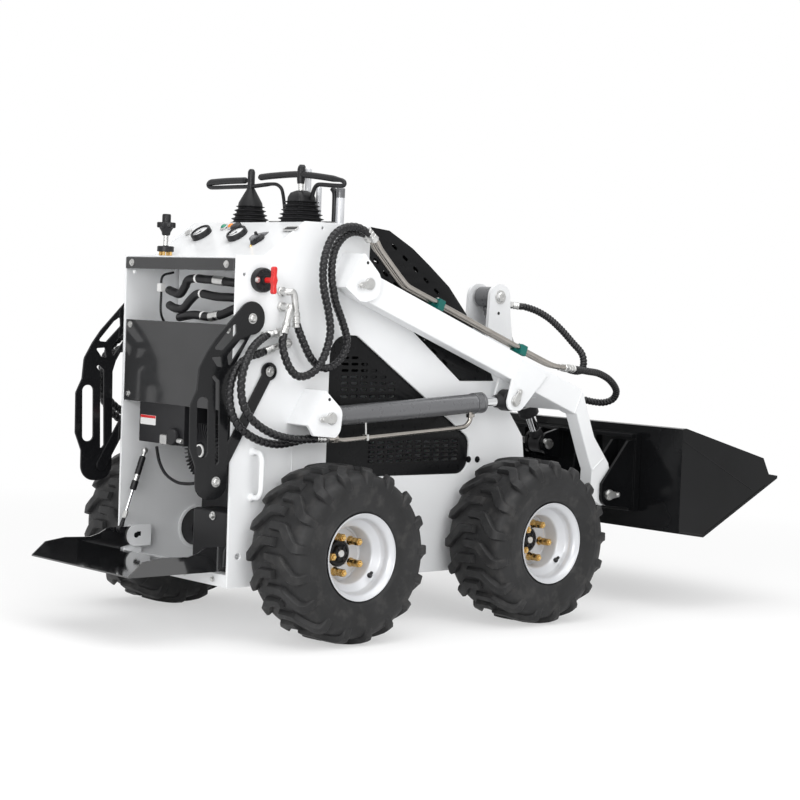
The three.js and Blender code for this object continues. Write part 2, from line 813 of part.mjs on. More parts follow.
// ---------------------------------------------------------------- cylinders
// A cylinder lies along its own axis from its rear pin; the group turns it into place.
const span = ([y0, z0], [y1, z1]) => Math.hypot(y1 - y0, z1 - z0);
const EYE_HALF = ARM_WIDTH / 2 - 5;
const placed = (mesh, x, from, to) => {
  mesh.position.set(x, from[0], from[1]);
  mesh.rotation.x = Math.atan2(to[1] - from[1], to[0] - from[0]);
};
const LIFT_BARREL_END = 610;
const LIFT_LENGTH = span(LIFT_REAR, LIFT_FRONT);
const barrel = (radius, length, eyeRadius, eyeHalf, rodRadius) =>
  cut(
    join(
      bar([-eyeHalf, 0, 0], [eyeHalf, 0, 0], eyeRadius),
      bar([0, 10, 0], [0, length - 34, 0], radius),
      bar([0, length - 36, 0], [0, length, 0], radius + 3),
    ),
    bar([-eyeHalf - 4, 0, 0], [eyeHalf + 4, 0, 0], PIN_R + PIN_PLAY),
    bar([0, 60, 0], [0, length + 4, 0], rodRadius + PIN_PLAY),
  );
const rod = (radius, from, length, eyeRadius, eyeHalf) =>
  join(
    bar([0, from, 0], [0, length - eyeRadius / 2, 0], radius),
    bar([-eyeHalf, length, 0], [eyeHalf, length, 0], eyeRadius),
  );

// The lift cylinder's own line runs along it from the base end to the port by the rod.
const LIFT_LINE_DROP = 66;
const liftLine = (outside, inside) =>
  join(
    bar([outside, 0, 58], [outside, 46, 62], 10, 8),
    line(
      [
        [outside, 40, 62],
        [outside, 80, LIFT_LINE_DROP],
        [outside, 545, LIFT_LINE_DROP],
        [outside, 578, 60],
        [outside, 590, 46],
        [outside, 591, BARREL_R - 8],
      ],
      LINE_R,
      6,
      10,
      0.2,
    ),
    bar([inside, 0, 58], [inside, 46, 62], 10, 8),
    bar([inside, 38, BARREL_R - 8], [inside, 38, 60], 8, 8),
    bar([outside, 300, BARREL_R - 8], [outside, 300, LIFT_LINE_DROP], 4, 8),
  );
for (const [name, side] of SIDES) {
  const liftBarrel = join(
    barrel(BARREL_R, LIFT_BARREL_END, 30, ARM_WIDTH / 2 - 1, ROD_R),
    liftLine(side * 12, side * -12),
  );
  placed(
    add(`lift_barrel_${name}`, `lift_barrel_${name}`, liftBarrel, GUNMETAL),
    side * ARM_MID,
    LIFT_REAR,
    LIFT_FRONT,
  );
  placed(
    add(`lift_rod_${name}`, `lift_rod_${name}`, rod(ROD_R, 110, LIFT_LENGTH, 32, EYE_HALF), STEEL),
    side * ARM_MID,
    LIFT_REAR,
    LIFT_FRONT,
  );
}

const TILT_LENGTH = span(TOWER_PIN, TILT_PIN);
const TILT_BARREL_END = 430;
const TILT_EYE_HALF = 34;
const LUG_IN = 30; // lugs on the attachment frame, either side of the tilt rod's eye
const LUG_OUT = 42;
const tiltBarrel = join(
  barrel(TILT_BARREL_R, TILT_BARREL_END, 32, TILT_EYE_HALF, TILT_ROD_R),
  bar([0, 34, -TILT_BARREL_R + 6], [-30, 60, -60], 9, 8),
  bar([-20, 384, -10], [-44, 384, -22], 9, 8),
);
placed(add("tilt_barrel", "tilt_barrel", tiltBarrel, GUNMETAL), 0, TOWER_PIN, TILT_PIN);
placed(
  add("tilt_rod", "tilt_rod", rod(TILT_ROD_R, 90, TILT_LENGTH, 30, LUG_IN - 5), STEEL),
  0,
  TOWER_PIN,
  TILT_PIN,
);

// ---------------------------------------------------------------- bucket
const bucketSide = [
  [-907, 246],
  [-905, 572],
  [-923, 574],
  [-1312, 473],
  [-1343, 420],
  [CUTTING_EDGE_Y, 414],
  [CUTTING_EDGE_Y, 405],
  [-1026, 229],
];
const bucketInside = [
  [-905 - BUCKET_T, 640],
  [-907 - BUCKET_T, 246 + BUCKET_T - 1],
  [-1024, 229 + BUCKET_T + 1],
  [-1330, 229 + BUCKET_T + 1 + 149],
  [CUTTING_EDGE_Y - 6, 414.5],
  [CUTTING_EDGE_Y - 6, 640],
];
const lipOutline = [
  [-905, 550],
  [-905, 572],
  [-923, 574],
  [-929, 550],
];
const bucket = join(
  cut(
    plateX(bucketSide, -BUCKET_HALF, BUCKET_HALF),
    plateX(bucketInside, -BUCKET_HALF + BUCKET_T, BUCKET_HALF - BUCKET_T),
  ),
  plateX(lipOutline, -BUCKET_HALF + 1, BUCKET_HALF - 1),
);
add("bucket", "bucket", bucket, BLACK);

// Attachment frame: a back plate with ears on the arms' pins and lugs for the tilt rod.
const FRAME_BACK = -880;
const FRAME_HALF = ARM_OUT + 19;
const armEar = [
  [FRAME_BACK - 2, 524],
  [-852, 524],
  [BUCKET_PIN[0] + 33, 392],
  [BUCKET_PIN[0] + 33, 323, 32],
  [BUCKET_PIN[0] - 30, 318],
  [FRAME_BACK - 2, 310],
];
const tiltLug = [
  [FRAME_BACK - 2, 545],
  [TILT_PIN[0] + 24, 522, 24],
  [TILT_PIN[0] + 26, 460, 24],
  [FRAME_BACK - 2, 440],
];
const attachmentFrame = join(
  boxOf(-FRAME_HALF, FRAME_HALF, -905 + GAP, FRAME_BACK, 300, 548),
  ...SIDES.flatMap(([, side]) => [
    plateX(armEar, side * (ARM_OUT + 3), side * (ARM_OUT + 13)),
    plateX(armEar, side * (ARM_IN - 3), side * (ARM_IN - 13)),
    pinX(BUCKET_PIN, side * (ARM_IN - 15), side * (ARM_OUT + 13 + PIN_HEAD), PIN_R),
    plateX(tiltLug, side * LUG_IN, side * LUG_OUT),
    pinX(TILT_PIN, side * (LUG_OUT - 1), side * (LUG_OUT + PIN_HEAD), PIN_R),
  ]),
);
add("bucket", "attachment_frame", attachmentFrame, BLACK);

// ---------------------------------------------------------------- platform
const DECK_Z = 191; // top of the deck
const DECK_T = 4;
const flangeOutline = [
  [PLATFORM_END, DECK_Z - DECK_T],
  [PLATFORM_END, DECK_Z],
  [PLATFORM_END - 41, 226],
  [PLATFORM_END - 104, 235],
  [PLATFORM_END - 187, 232],
  [714, 240],
  [684, 255],
  [PLATFORM_HINGE[0] - 14, 255, 10],
  [PLATFORM_HINGE[0] - 14, 210, 10],
  [640, 196],
  [640, DECK_Z - DECK_T],
];
const platform = cut(
  join(
    boxOf(-DECK_HALF, DECK_HALF, 640, PLATFORM_END, DECK_Z - DECK_T, DECK_Z),
    ...SIDES.map(([, side]) =>
      plateX(flangeOutline, side * (DECK_HALF - FLANGE_T), side * DECK_HALF),
    ),
    pinX(SPRING_FOOT, DECK_HALF - 1, SPRING_X + SPRING_R + GAP, 6, 10),
  ),
  ...SIDES.map(([, side]) =>
    pinX(PLATFORM_HINGE, side * (DECK_HALF - 12), side * (DECK_HALF + 4), 8 + PIN_PLAY, 16),
  ),
);
add("platform", "platform_deck", platform, BLACK);

const SPRING_LENGTH = span(SPRING_TOP, SPRING_FOOT);
const SPRING_BODY = 120;
const springBarrel = cut(
  join(
    bar([-SPRING_R, 0, 0], [SPRING_R, 0, 0], 10, 12),
    bar([0, 4, 0], [0, SPRING_BODY, 0], SPRING_R, 12),
  ),
  bar([0, 14, 0], [0, SPRING_BODY + 2, 0], 4 + PIN_PLAY, 10),
);
const springRod = join(
  bar([0, 90, 0], [0, SPRING_LENGTH - 4, 0], 4, 10),
  bar([-SPRING_R, SPRING_LENGTH, 0], [SPRING_R, SPRING_LENGTH, 0], 10, 12),
);
placed(add("spring_barrel", "spring_barrel", springBarrel, BLACK), SPRING_X, SPRING_TOP, SPRING_FOOT);
placed(add("spring_rod", "spring_rod", springRod, STEEL), SPRING_X, SPRING_TOP, SPRING_FOOT);

// ---------------------------------------------------------------- hoses
// Each hose's route is chosen by hand, from one fitting to the next.
const HOSES = {
  tilt_hose_base: {
    body: "chassis",
    steps: 26,
    points: [
      [-302, 455.9, 879.4],
      [-302, 453.4, 864.2],
      [-303, 435, 823],
      [-303, 399, 767],
      [-303, 358, 742],
      [-303, 317, 748],
      [-303, 284, 780],
      [-303, 274, 820],
      [-308, 296, 868],
      [-320, 333, 921],
      [-328, 350, 957],
      [-328, 357, 990],
      [-322, 352, 1035],
      [-310, 330, 1076],
      [-298, 292, 1107],
      [-290, 252, 1120],
      [-287.5, 213.2, 1116.1],
      [-287.5, 200.5, 1107.3],
    ],
  },
  tilt_hose_rod: {
    body: "chassis",
    steps: 28,
    points: [
      [-309, 496.1, 851.4],
      [-309, 499.9, 836.5],
      [-314, 508, 800],
      [-326, 498, 752],
      [-329, 470, 722],
      [-329, 431, 722],
      [-329, 393, 746],
      [-329, 368, 790],
      [-329, 356, 842],
      [-329, 365, 896],
      [-329, 385, 962],
      [-328, 388, 1020],
      [-326, 376, 1066],
      [-321, 351, 1104],
      [-316, 310, 1128],
      [-312, 260, 1133],
      [-312.5, 213.2, 1116.1],
      [-312.5, 200.5, 1107.3],
    ],
  },
  tilt_hose_front_base: {
    body: "lift_arm",
    steps: 20,
    points: [
      [-287.5, -606.5, 748.9],
      [-287.5, -624, 746.5],
      [-286.5, -650, 741],
      [-284, -682, 738],
      [-278, -708, 745],
      [-270, -722, 768],
      [-258, -722, 795],
      [-225, -716, 825],
      [-185, -704, 864],
      [-140, -693, 898],
      [-95, -682, 920],
      [-58, -668, 931],
      [-40, -654.1, 933.3],
      [-30.3, -639.8, 935.1],
    ],
  },
  tilt_hose_front_rod: {
    body: "lift_arm",
    steps: 24,
    points: [
      [-312.5, -606.5, 748.9],
      [-312.5, -624, 747],
      [-312.5, -650, 744],
      [-311, -700, 739],
      [-300, -762, 732],
      [-290, -824, 711],
      [-272, -876, 678],
      [-246, -893, 650],
      [-218, -882, 636],
      [-188, -864, 636],
      [-152, -846, 642],
      [-112, -816, 643],
      [-80, -783, 641],
      [-60.1, -768.7, 636.7],
      [-44.4, -761.8, 632.9],
    ],
  },
};
const LIFT_HOSES = {
  rod: [
    [284, 522.6, 830.9],
    [284, 538.1, 827.3],
    [302, 576, 814],
    [320, 612, 794],
    [330, 638, 764],
    [335, 656, 720],
    [336, 657, 670],
    [336, 638, 623],
    [336, 595, 587],
    [336, 536, 561],
    [334, 468, 549],
    [331, 410, 548],
    [330, 380.3, 548.5],
    [330, 364.9, 548.1],
  ],
  base: [
    [284, 528.6, 788.8],
    [284, 543.7, 784],
    [294, 574, 777],
    [302, 612, 768],
    [306, 650, 742],
    [309, 673, 698],
    [310, 675, 650],
    [310, 660, 606],
    [310, 624, 570],
    [310, 572, 545],
    [310, 514, 534],
    [308, 460, 538],
    [306, 412, 546],
    [306, 380.3, 548.5],
    [306, 364.9, 548.1],
  ],
};
for (const [name, { body, points, steps }] of Object.entries(HOSES))
  add(body, name, line(points, HOSE_R, 8, steps), HOSE);
for (const [name, side] of SIDES)
  for (const [end, points] of Object.entries(LIFT_HOSES)) {
    const route = points.map(([x, y, z]) => [side * x, y, z]);
    add("chassis", `lift_hose_${end}_${name}`, line(route, HOSE_R, 8, 20), HOSE);
  }

// ---------------------------------------------------------------- origin
machine.position.set(0, -ORIGIN_Y, TYRE_RADIUS - AXLE_Z);

export default machine;
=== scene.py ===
# %% [markdown]
# # A stand-on mini skid steer loader, piece by piece
# The frame gives every body and joint. This notebook builds the looks round it: powder-coated
# plates, lugged tyres, hydraulic hoses in spiral guards, turned cylinders and cut sheet steel.
# Sizes are written as on a workshop drawing: millimetres, y counted from midway between the axles.

# %% Tools and the fixed frame
import json
import math

import bmesh
import bpy
import numpy as np
from mathutils import Matrix, Vector
from mathutils.geometry import tessellate_polygon

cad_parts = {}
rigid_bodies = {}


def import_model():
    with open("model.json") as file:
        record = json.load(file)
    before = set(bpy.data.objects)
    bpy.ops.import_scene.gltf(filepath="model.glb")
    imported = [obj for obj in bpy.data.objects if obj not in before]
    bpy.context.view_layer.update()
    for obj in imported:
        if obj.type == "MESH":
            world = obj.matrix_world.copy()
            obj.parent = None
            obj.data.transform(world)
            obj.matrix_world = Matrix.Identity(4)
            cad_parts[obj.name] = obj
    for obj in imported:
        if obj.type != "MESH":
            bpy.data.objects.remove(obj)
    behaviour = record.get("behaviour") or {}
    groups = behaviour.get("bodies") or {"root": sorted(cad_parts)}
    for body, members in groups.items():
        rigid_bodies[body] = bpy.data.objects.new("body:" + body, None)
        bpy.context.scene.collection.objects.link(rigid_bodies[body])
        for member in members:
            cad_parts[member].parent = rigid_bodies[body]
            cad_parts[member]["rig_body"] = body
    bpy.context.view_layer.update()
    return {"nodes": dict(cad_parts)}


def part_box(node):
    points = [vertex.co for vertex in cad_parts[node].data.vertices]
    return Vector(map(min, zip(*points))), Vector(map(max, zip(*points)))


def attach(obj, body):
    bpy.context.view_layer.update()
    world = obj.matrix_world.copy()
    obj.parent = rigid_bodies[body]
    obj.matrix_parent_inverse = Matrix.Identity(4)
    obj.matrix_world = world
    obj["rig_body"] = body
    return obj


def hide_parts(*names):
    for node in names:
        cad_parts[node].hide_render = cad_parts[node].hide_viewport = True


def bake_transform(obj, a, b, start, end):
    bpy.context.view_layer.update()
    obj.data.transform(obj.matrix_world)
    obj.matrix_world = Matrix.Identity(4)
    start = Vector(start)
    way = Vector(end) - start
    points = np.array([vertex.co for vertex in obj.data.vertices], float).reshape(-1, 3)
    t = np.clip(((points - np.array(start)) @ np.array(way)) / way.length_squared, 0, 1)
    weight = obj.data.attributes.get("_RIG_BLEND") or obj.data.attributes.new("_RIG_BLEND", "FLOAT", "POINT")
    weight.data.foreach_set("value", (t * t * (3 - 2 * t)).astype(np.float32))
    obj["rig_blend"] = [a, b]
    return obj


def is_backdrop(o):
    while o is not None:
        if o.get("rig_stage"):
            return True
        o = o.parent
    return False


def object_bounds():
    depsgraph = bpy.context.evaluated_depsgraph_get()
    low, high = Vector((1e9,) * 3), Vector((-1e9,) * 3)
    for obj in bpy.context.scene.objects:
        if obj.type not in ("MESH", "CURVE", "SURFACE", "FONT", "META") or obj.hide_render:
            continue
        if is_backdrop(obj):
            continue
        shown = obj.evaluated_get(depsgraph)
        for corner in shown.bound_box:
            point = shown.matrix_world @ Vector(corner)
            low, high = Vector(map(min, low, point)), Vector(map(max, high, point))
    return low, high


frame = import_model()

# %% [markdown]
# ## From the drawing to the frame
# The frame's origin is the middle of the machine's footprint, so the drawing slides along y by
# one fixed distance. Side words follow the machine: its right side is at -x.

# %% Drawing to frame
ORIGIN_Y = 229.0
SIDES = (("right", -1), ("left", 1))


def metres(points):
    """(x, y, z) in drawing millimetres becomes (x, y + ORIGIN_Y, z) / 1000."""
    return (np.asarray(points, float) + (0.0, ORIGIN_Y, 0.0)) / 1000.0


def middle(node):
    """The middle of a CAD node's box, in drawing millimetres."""
    low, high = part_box(node)
    return (np.array(low) + np.array(high)) * 500.0 - (0.0, ORIGIN_Y, 0.0)


AXLE_Z = middle("rim_front_right")[2]
print("axle height", round(AXLE_Z, 1), "mm")

# %% [markdown]
# ## Camera
# A long lens low behind the machine's right rear corner, rolled a little. Its axes
# come from yaw, pitch and roll.

# %% Camera
YAW, PITCH, ROLL = (math.radians(a) for a in (-41.559, -2.791, 2.220))
LENS_MM = 88.0
CAMERA_AT = (-4469.96, 3762.63, 923.57)


def aimed(camera):
    """Columns right, up, -forward; right and up are turned by the roll about forward."""
    forward = Vector((math.cos(PITCH) * math.cos(YAW), math.cos(PITCH) * math.sin(YAW), math.sin(PITCH)))
    level = forward.cross(Vector((0, 0, 1))).normalized()
    above = level.cross(forward)
    right = level * math.cos(ROLL) + above * math.sin(ROLL)
    up = above * math.cos(ROLL) - level * math.sin(ROLL)
    turn = Matrix((right, up, -forward)).transposed()
    camera.matrix_world = Matrix.Translation(Vector(metres(CAMERA_AT))) @ turn.to_4x4()


camera = bpy.data.objects.new("camera", bpy.data.cameras.new("camera"))
camera.data.lens = LENS_MM
camera.data.sensor_width = 36.0
camera.data.clip_end = 60.0
bpy.context.scene.collection.objects.link(camera)
bpy.context.scene.camera = camera
aimed(camera)
bpy.context.scene.view_settings.view_transform = "Standard"
print("camera at", [round(v, 3) for v in camera.location])

# %% [markdown]
# ## Surfaces from arrays
# Every shape is a grid of points worked out at once: a profile turned about an axle, a ring
# carried along a path, or an outline given thickness with rounded edges. A form is a pair: its
# points, and blocks of faces that number those points.

# %% Grids and joined forms
TURN = 2 * math.pi


def unit(vectors):
    """Vectors divided by their lengths."""
    return vectors / np.linalg.norm(vectors, axis=-1, keepdims=True)


def quads(rows, columns, close_rows=False, close_columns=True):
    """Face (i, j) joins grid points (i, j), (i+1, j), (i+1, j+1) and (i, j+1)."""
    i = np.arange(rows if close_rows else rows - 1)
    j = np.arange(columns if close_columns else columns - 1)
    i, j = (a.ravel() for a in np.meshgrid(i, j, indexing="ij"))
    up, along = (i + 1) % rows, (j + 1) % columns
    corners = (i * columns + j, up * columns + j, up * columns + along, i * columns + along)
    return np.stack(corners, 1)


def capped(grid, ring=False):
    """A grid of points (rows, columns, 3) as a form, its two end rings closed unless it is a ring."""
    rows, columns = grid.shape[:2]
    blocks = [quads(rows, columns, close_rows=ring)]
    if not ring:
        end = np.arange(columns)
        blocks += [end[None, ::-1], end[None] + (rows - 1) * columns]
    return grid.reshape(-1, 3), blocks


def joined(*forms):
    """Several forms as one: points end to end, face numbers moved on."""
    starts = np.cumsum([0] + [len(points) for points, _ in forms])
    blocks = [block + start for (_, faces), start in zip(forms, starts) for block in faces]
    return np.concatenate([points for points, _ in forms]), blocks


def shifted(form, by):
    """Every point plus one offset."""
    return form[0] + np.asarray(by, float), form[1]


def flipped(form, side):
    """The mirror image across the machine's middle plane where side is 1, else the form itself."""
    return form[0] * (-side, 1, 1), form[1]


def both(form):
    """A form drawn on the right side, with its mirror image on the left."""
    return joined(form, flipped(form, 1))


# %% Turned, swept and cut shapes
def across(direction):
    """Three unit axes: along the direction, and two across it."""
    axis = unit(np.asarray(direction, float))
    helper = np.eye(3)[np.argmin(np.abs(axis))]
    first = unit(np.cross(axis, helper))
    return axis, first, np.cross(axis, first)


def turned(profile, origin, direction, sides=40, ring=False, square=2.0):
    """Point (i, j) = origin + a_i axis + r_i s_j (cos t_j u + sin t_j v).

    s_j = (|cos t_j|^n + |sin t_j|^n)^(-1/n) squares the section: n = 2 is round.
    """
    a, r = np.asarray(profile, float).T
    axis, u, v = across(direction)
    t = (np.arange(sides) + 0.5) * TURN / sides
    s = (np.abs(np.cos(t)) ** square + np.abs(np.sin(t)) ** square) ** (-1 / square)
    spokes = s[:, None] * (np.cos(t)[:, None] * u + np.sin(t)[:, None] * v)
    grid = np.asarray(origin, float) + a[:, None, None] * axis + r[:, None, None] * spokes
    return capped(grid, ring)


def rod(start, end, radius, sides=24, edge=1.0):
    """A round bar between two points, with its end edges broken by a small chamfer."""
    start, end = np.asarray(start, float), np.asarray(end, float)
    length = np.linalg.norm(end - start)
    e = min(edge, radius * 0.4, length * 0.3)
    profile = [(0, radius - e), (e, radius), (length - e, radius), (length, radius - e)]
    return turned(profile, start, end - start, sides)


def curve(points, step=3.0, tension=0.5):
    """Cubic Hermite spans with tangents tension * (p[i+1] - p[i-1]), then even steps of length."""
    p = np.asarray(points, float)
    p = np.vstack([2 * p[0] - p[1], p, 2 * p[-1] - p[-2]])
    a, b, c, d = (p[i : len(p) - 3 + i][:, None] for i in range(4))
    t = np.linspace(0, 1, 24, endpoint=False)[None, :, None]
    m, n = tension * (c - a), tension * (d - b)
    spans = (2 * t**3 - 3 * t**2 + 1) * b + (t**3 - 2 * t**2 + t) * m
    spans = spans + (3 * t**2 - 2 * t**3) * c + (t**3 - t**2) * n
    dense = np.vstack([spans.reshape(-1, 3), p[-2]])
    run = np.concatenate([[0], np.cumsum(np.linalg.norm(np.diff(dense, axis=0), axis=1))])
    even = np.linspace(0, run[-1], max(2, round(run[-1] / step) + 1))
    return np.stack([np.interp(even, run, dense[:, k]) for k in range(3)], 1)


def tube(path, radius, sides=14):
    """Point (i, j) = path_i + r_ij (cos t_j u_i + sin t_j v_i), u and v across the path's tangent.

    u comes from one fixed direction that the whole path stays away from, so rings don't twist.
    """
    path = np.asarray(path, float)
    tangent = unit(np.gradient(path, axis=0))
    still = np.linalg.svd(tangent)[2][-1]
    u = unit(np.cross(still, tangent))
    v = np.cross(tangent, u)
    t = np.arange(sides) * TURN / sides
    r = np.broadcast_to(np.asarray(radius, float).reshape(-1, 1) if np.ndim(radius) < 2 else radius,
                        (len(path), sides))
    spokes = np.cos(t)[None, :, None] * u[:, None] + np.sin(t)[None, :, None] * v[:, None]
    return capped(path[:, None] + r[..., None] * spokes)


def rounded(corners, steps=7):
    """Corner (a, b, r) becomes an arc of radius r that touches both of its edges."""
    flat = [(*c, 0.0)[:3] for c in corners]
    out = []
    for (ax, ay, _), (x, y, r), (bx, by, _) in zip([flat[-1], *flat], flat, [*flat[1:], flat[0]]):
        if not r:
            out.append((x, y))
            continue
        u, v = unit(np.array([ax - x, ay - y])), unit(np.array([bx - x, by - y]))
        half = math.acos(np.clip(u @ v, -1, 1)) / 2
        centre = np.array([x, y]) + unit(u + v) * r / math.sin(half)
        start, end = (np.array([x, y]) + w * r / math.tan(half) - centre for w in (u, v))
        first = math.atan2(start[1], start[0])
        turn = (math.atan2(end[1], end[0]) - first + math.pi) % TURN - math.pi
        angle = first + turn * np.linspace(0, 1, steps)
        out += list(zip(centre[0] + r * np.cos(angle), centre[1] + r * np.sin(angle)))
    return np.array(out)


def circle(a, b, radius, steps=24):
    """A round outline about (a, b)."""
    t = np.arange(steps) * TURN / steps
    return np.stack([a + radius * np.cos(t), b + radius * np.sin(t)], 1)


def slot_hole(a, b, length, width, tilt=0.0, steps=4):
    """A slot with round ends: two half circles, their centres length - width apart."""
    t = np.linspace(-math.pi / 2, math.pi / 2, steps)
    x = np.concatenate([np.cos(t), -np.cos(t)]) * width / 2
    x = x + np.repeat([1, -1], steps) * (length - width) / 2
    y = np.concatenate([np.sin(t), -np.sin(t)]) * width / 2
    c, s = math.cos(tilt), math.sin(tilt)
    return np.stack([a + c * x - s * y, b + s * x + c * y], 1)


def oriented(loop, material_left):
    """The loop, run so that its signed area has the sign asked for."""
    x, y = loop.T
    area = np.sum(x * np.roll(y, -1) - np.roll(x, -1) * y)
    return loop if (area > 0) == material_left else loop[::-1]


def inset(loop, distance):
    """Each corner moves into the material: along n1 + n2, divided by 1 + n1.n2."""
    before = unit(loop - np.roll(loop, 1, 0))
    after = np.roll(before, -1, 0)
    n, m = (np.stack([-e[:, 1], e[:, 0]], 1) for e in (before, after))
    return loop + distance * (n + m) / np.maximum(1 + np.sum(n * m, 1), 0.5)[:, None]


ACROSS_X = np.array([[0, 1, 0], [0, 0, 1], [1, 0, 0]], float)  # rows: where a, b and depth point
ACROSS_Y = np.array([[1, 0, 0], [0, 0, 1], [0, 1, 0]], float)
ACROSS_Z = np.array([[1, 0, 0], [0, 1, 0], [0, 0, 1]], float)


def plate(outline, low, high, holes=(), edge=1.2, axes=ACROSS_X, origin=(0, 0, 0)):
    """An outline with holes, from depth low to high; its edges are quarter rounds of radius edge.

    Ring k of each loop is inset by edge (1 - sin q_k) at depth edge (1 - cos q_k).
    """
    low, high = min(low, high), max(low, high)
    loops = [oriented(np.asarray(outline, float), True)]
    loops += [oriented(np.asarray(h, float), False) for h in holes]
    q = np.linspace(0, math.pi / 2, 4)
    back = np.concatenate([edge * (1 - np.sin(q)), edge * (1 - np.sin(q))[::-1]])
    depth = np.concatenate([low + edge * (1 - np.cos(q)), (high - edge * (1 - np.cos(q)))[::-1]])
    forms = []
    for loop in loops:
        rings = np.stack([inset(loop, b) for b in back])
        grid = np.concatenate([rings, np.broadcast_to(depth[:, None, None], (*rings.shape[:2], 1))], 2)
        forms.append((grid.reshape(-1, 3), [quads(len(back), len(loop))]))
    points, blocks = joined(*forms)
    starts = np.cumsum([0] + [len(back) * len(loop) for loop in loops])
    first = np.concatenate([s + np.arange(len(l)) for s, l in zip(starts, loops)])
    last = np.concatenate([s + (len(back) - 1) * len(l) + np.arange(len(l)) for s, l in zip(starts, loops)])
    flat = [[Vector((x, y, 0)) for x, y in inset(l, edge)] for l in loops]
    fill = np.array(tessellate_polygon(flat))
    blocks += [first[fill], last[fill]]
    return points @ axes + np.asarray(origin, float), blocks


def box_form(x0, x1, y0, y1, z0, z1, edge=1.0):
    """A plate of rectangular outline."""
    return plate([(x0, y0), (x1, y0), (x1, y1), (x0, y1)], z0, z1, edge=edge, axes=ACROSS_Z)


def bolt(at, direction, size=9.0, head=6.0, washer=True):
    """A six-sided head with a domed top, on a round washer."""
    at, axis = np.asarray(at, float), unit(np.asarray(direction, float))
    flat = size * 1.5
    w = 1.6 if washer else 0.0
    forms = [turned([(w, size), (w + head * 0.8, size), (w + head, size * 0.8)], at, axis, 6)]
    if washer:
        forms.append(turned([(0, flat - 0.4), (0.4, flat), (w, flat - 0.2)], at, axis, 24))
    return joined(*forms)


# %% Objects from forms
SHARP = math.radians(38)


def make(name, form, body, finish, replaces=(), smooth_normals=True):
    """A form becomes a mesh object in metres: seams merged, faces outward, edges sharp by angle."""
    points, blocks = form
    mesh = bpy.data.meshes.new(name)
    mesh.from_pydata(metres(points).tolist(), [], [tuple(f) for b in blocks for f in b.tolist()])
    work = bmesh.new()
    work.from_mesh(mesh)
    bmesh.ops.remove_doubles(work, verts=work.verts, dist=2e-6)
    bmesh.ops.recalc_face_normals(work, faces=work.faces)
    work.to_mesh(mesh)
    work.free()
    return finished(mesh, name, body, finish, replaces, smooth_normals)


def finished(mesh, name, body, finish, replaces=(), smooth_normals=True):
    """Shades a mesh, gives it its finish and hangs it on its body."""
    mesh.shade_smooth()
    mesh.set_sharp_from_angle(angle=SHARP)
    mesh.materials.clear()
    mesh.materials.append(finish)
    piece = bpy.data.objects.new(name, mesh)
    bpy.context.scene.collection.objects.link(piece)
    if smooth_normals:
        weigh = piece.modifiers.new("face weighted normals", "WEIGHTED_NORMAL")
        weigh.keep_sharp = True
    if replaces:
        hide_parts(*replaces)
    if body:
        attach(piece, body)
    return piece


def eased(node, finish, width=1.2, name=None):
    """A copy of a CAD node with its flat faces merged and its edges rounded by a bevel."""
    source = frame["nodes"][node]
    mesh = source.data.copy()
    work = bmesh.new()
    work.from_mesh(mesh)
    bmesh.ops.remove_doubles(work, verts=work.verts, dist=5e-5)
    bmesh.ops.dissolve_limit(
        work, angle_limit=math.radians(0.6), verts=work.verts, edges=work.edges,
        use_dissolve_boundaries=False
    )
    work.to_mesh(mesh)
    work.free()
    for old in [a.name for a in mesh.attributes if a.name == "custom_normal"]:
        mesh.attributes.remove(mesh.attributes[old])
    piece = finished(mesh, name or f"{node}_eased", source["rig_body"], finish, (node,),
                     smooth_normals=False)
    bevel = piece.modifiers.new("rounded edges", "BEVEL")
    bevel.width = width / 1000.0
    bevel.segments = 2
    bevel.limit_method = "ANGLE"
    bevel.angle_limit = SHARP
    bevel.harden_normals = True
    return piece


print("form tools ready")

# %% [markdown]
# ## Finishes
# A finish is a Principled shader whose colour, roughness and bump each come from noise in the
# piece's own space: a slow tone, a patchy gloss and a fine grain at the scale of the real
# coating. Numbers that are the same all over sit on the shader's own sockets.

# %% One recipe for coatings
FINISHES = {}


def noise(tree, scale, detail=3.0, stretch=(1, 1, 1)):
    """3-D noise in object space, squeezed along each axis by stretch."""
    place = tree.nodes.new("ShaderNodeTexCoord")
    turn = tree.nodes.new("ShaderNodeMapping")
    turn.inputs["Scale"].default_value = stretch
    grain = tree.nodes.new("ShaderNodeTexNoise")
    grain.inputs["Scale"].default_value = scale
    grain.inputs["Detail"].default_value = detail
    tree.links.new(place.outputs["Object"], turn.inputs["Vector"])
    tree.links.new(turn.outputs["Vector"], grain.inputs["Vector"])
    return grain.outputs["Fac"]


def ranged(tree, value, low, high, start=0.3, end=0.7):
    """The value's part from start to end spread over low to high."""
    node = tree.nodes.new("ShaderNodeMapRange")
    tree.links.new(value, node.inputs["Value"])
    for key, number in (("From Min", start), ("From Max", end), ("To Min", low), ("To Max", high)):
        node.inputs[key].default_value = number
    return node.outputs["Result"]


def blended(tree, share, dark, light):
    """Colour dark where share is 0 and light where it is 1."""
    node = tree.nodes.new("ShaderNodeMix")
    node.data_type = "RGBA"
    tree.links.new(share, node.inputs["Factor"])
    for socket, colour in ((node.inputs[6], dark), (node.inputs[7], light)):
        if isinstance(colour, bpy.types.NodeSocket):
            tree.links.new(colour, socket)
        else:
            socket.default_value = (*colour, 1.0)
    return node.outputs[2]


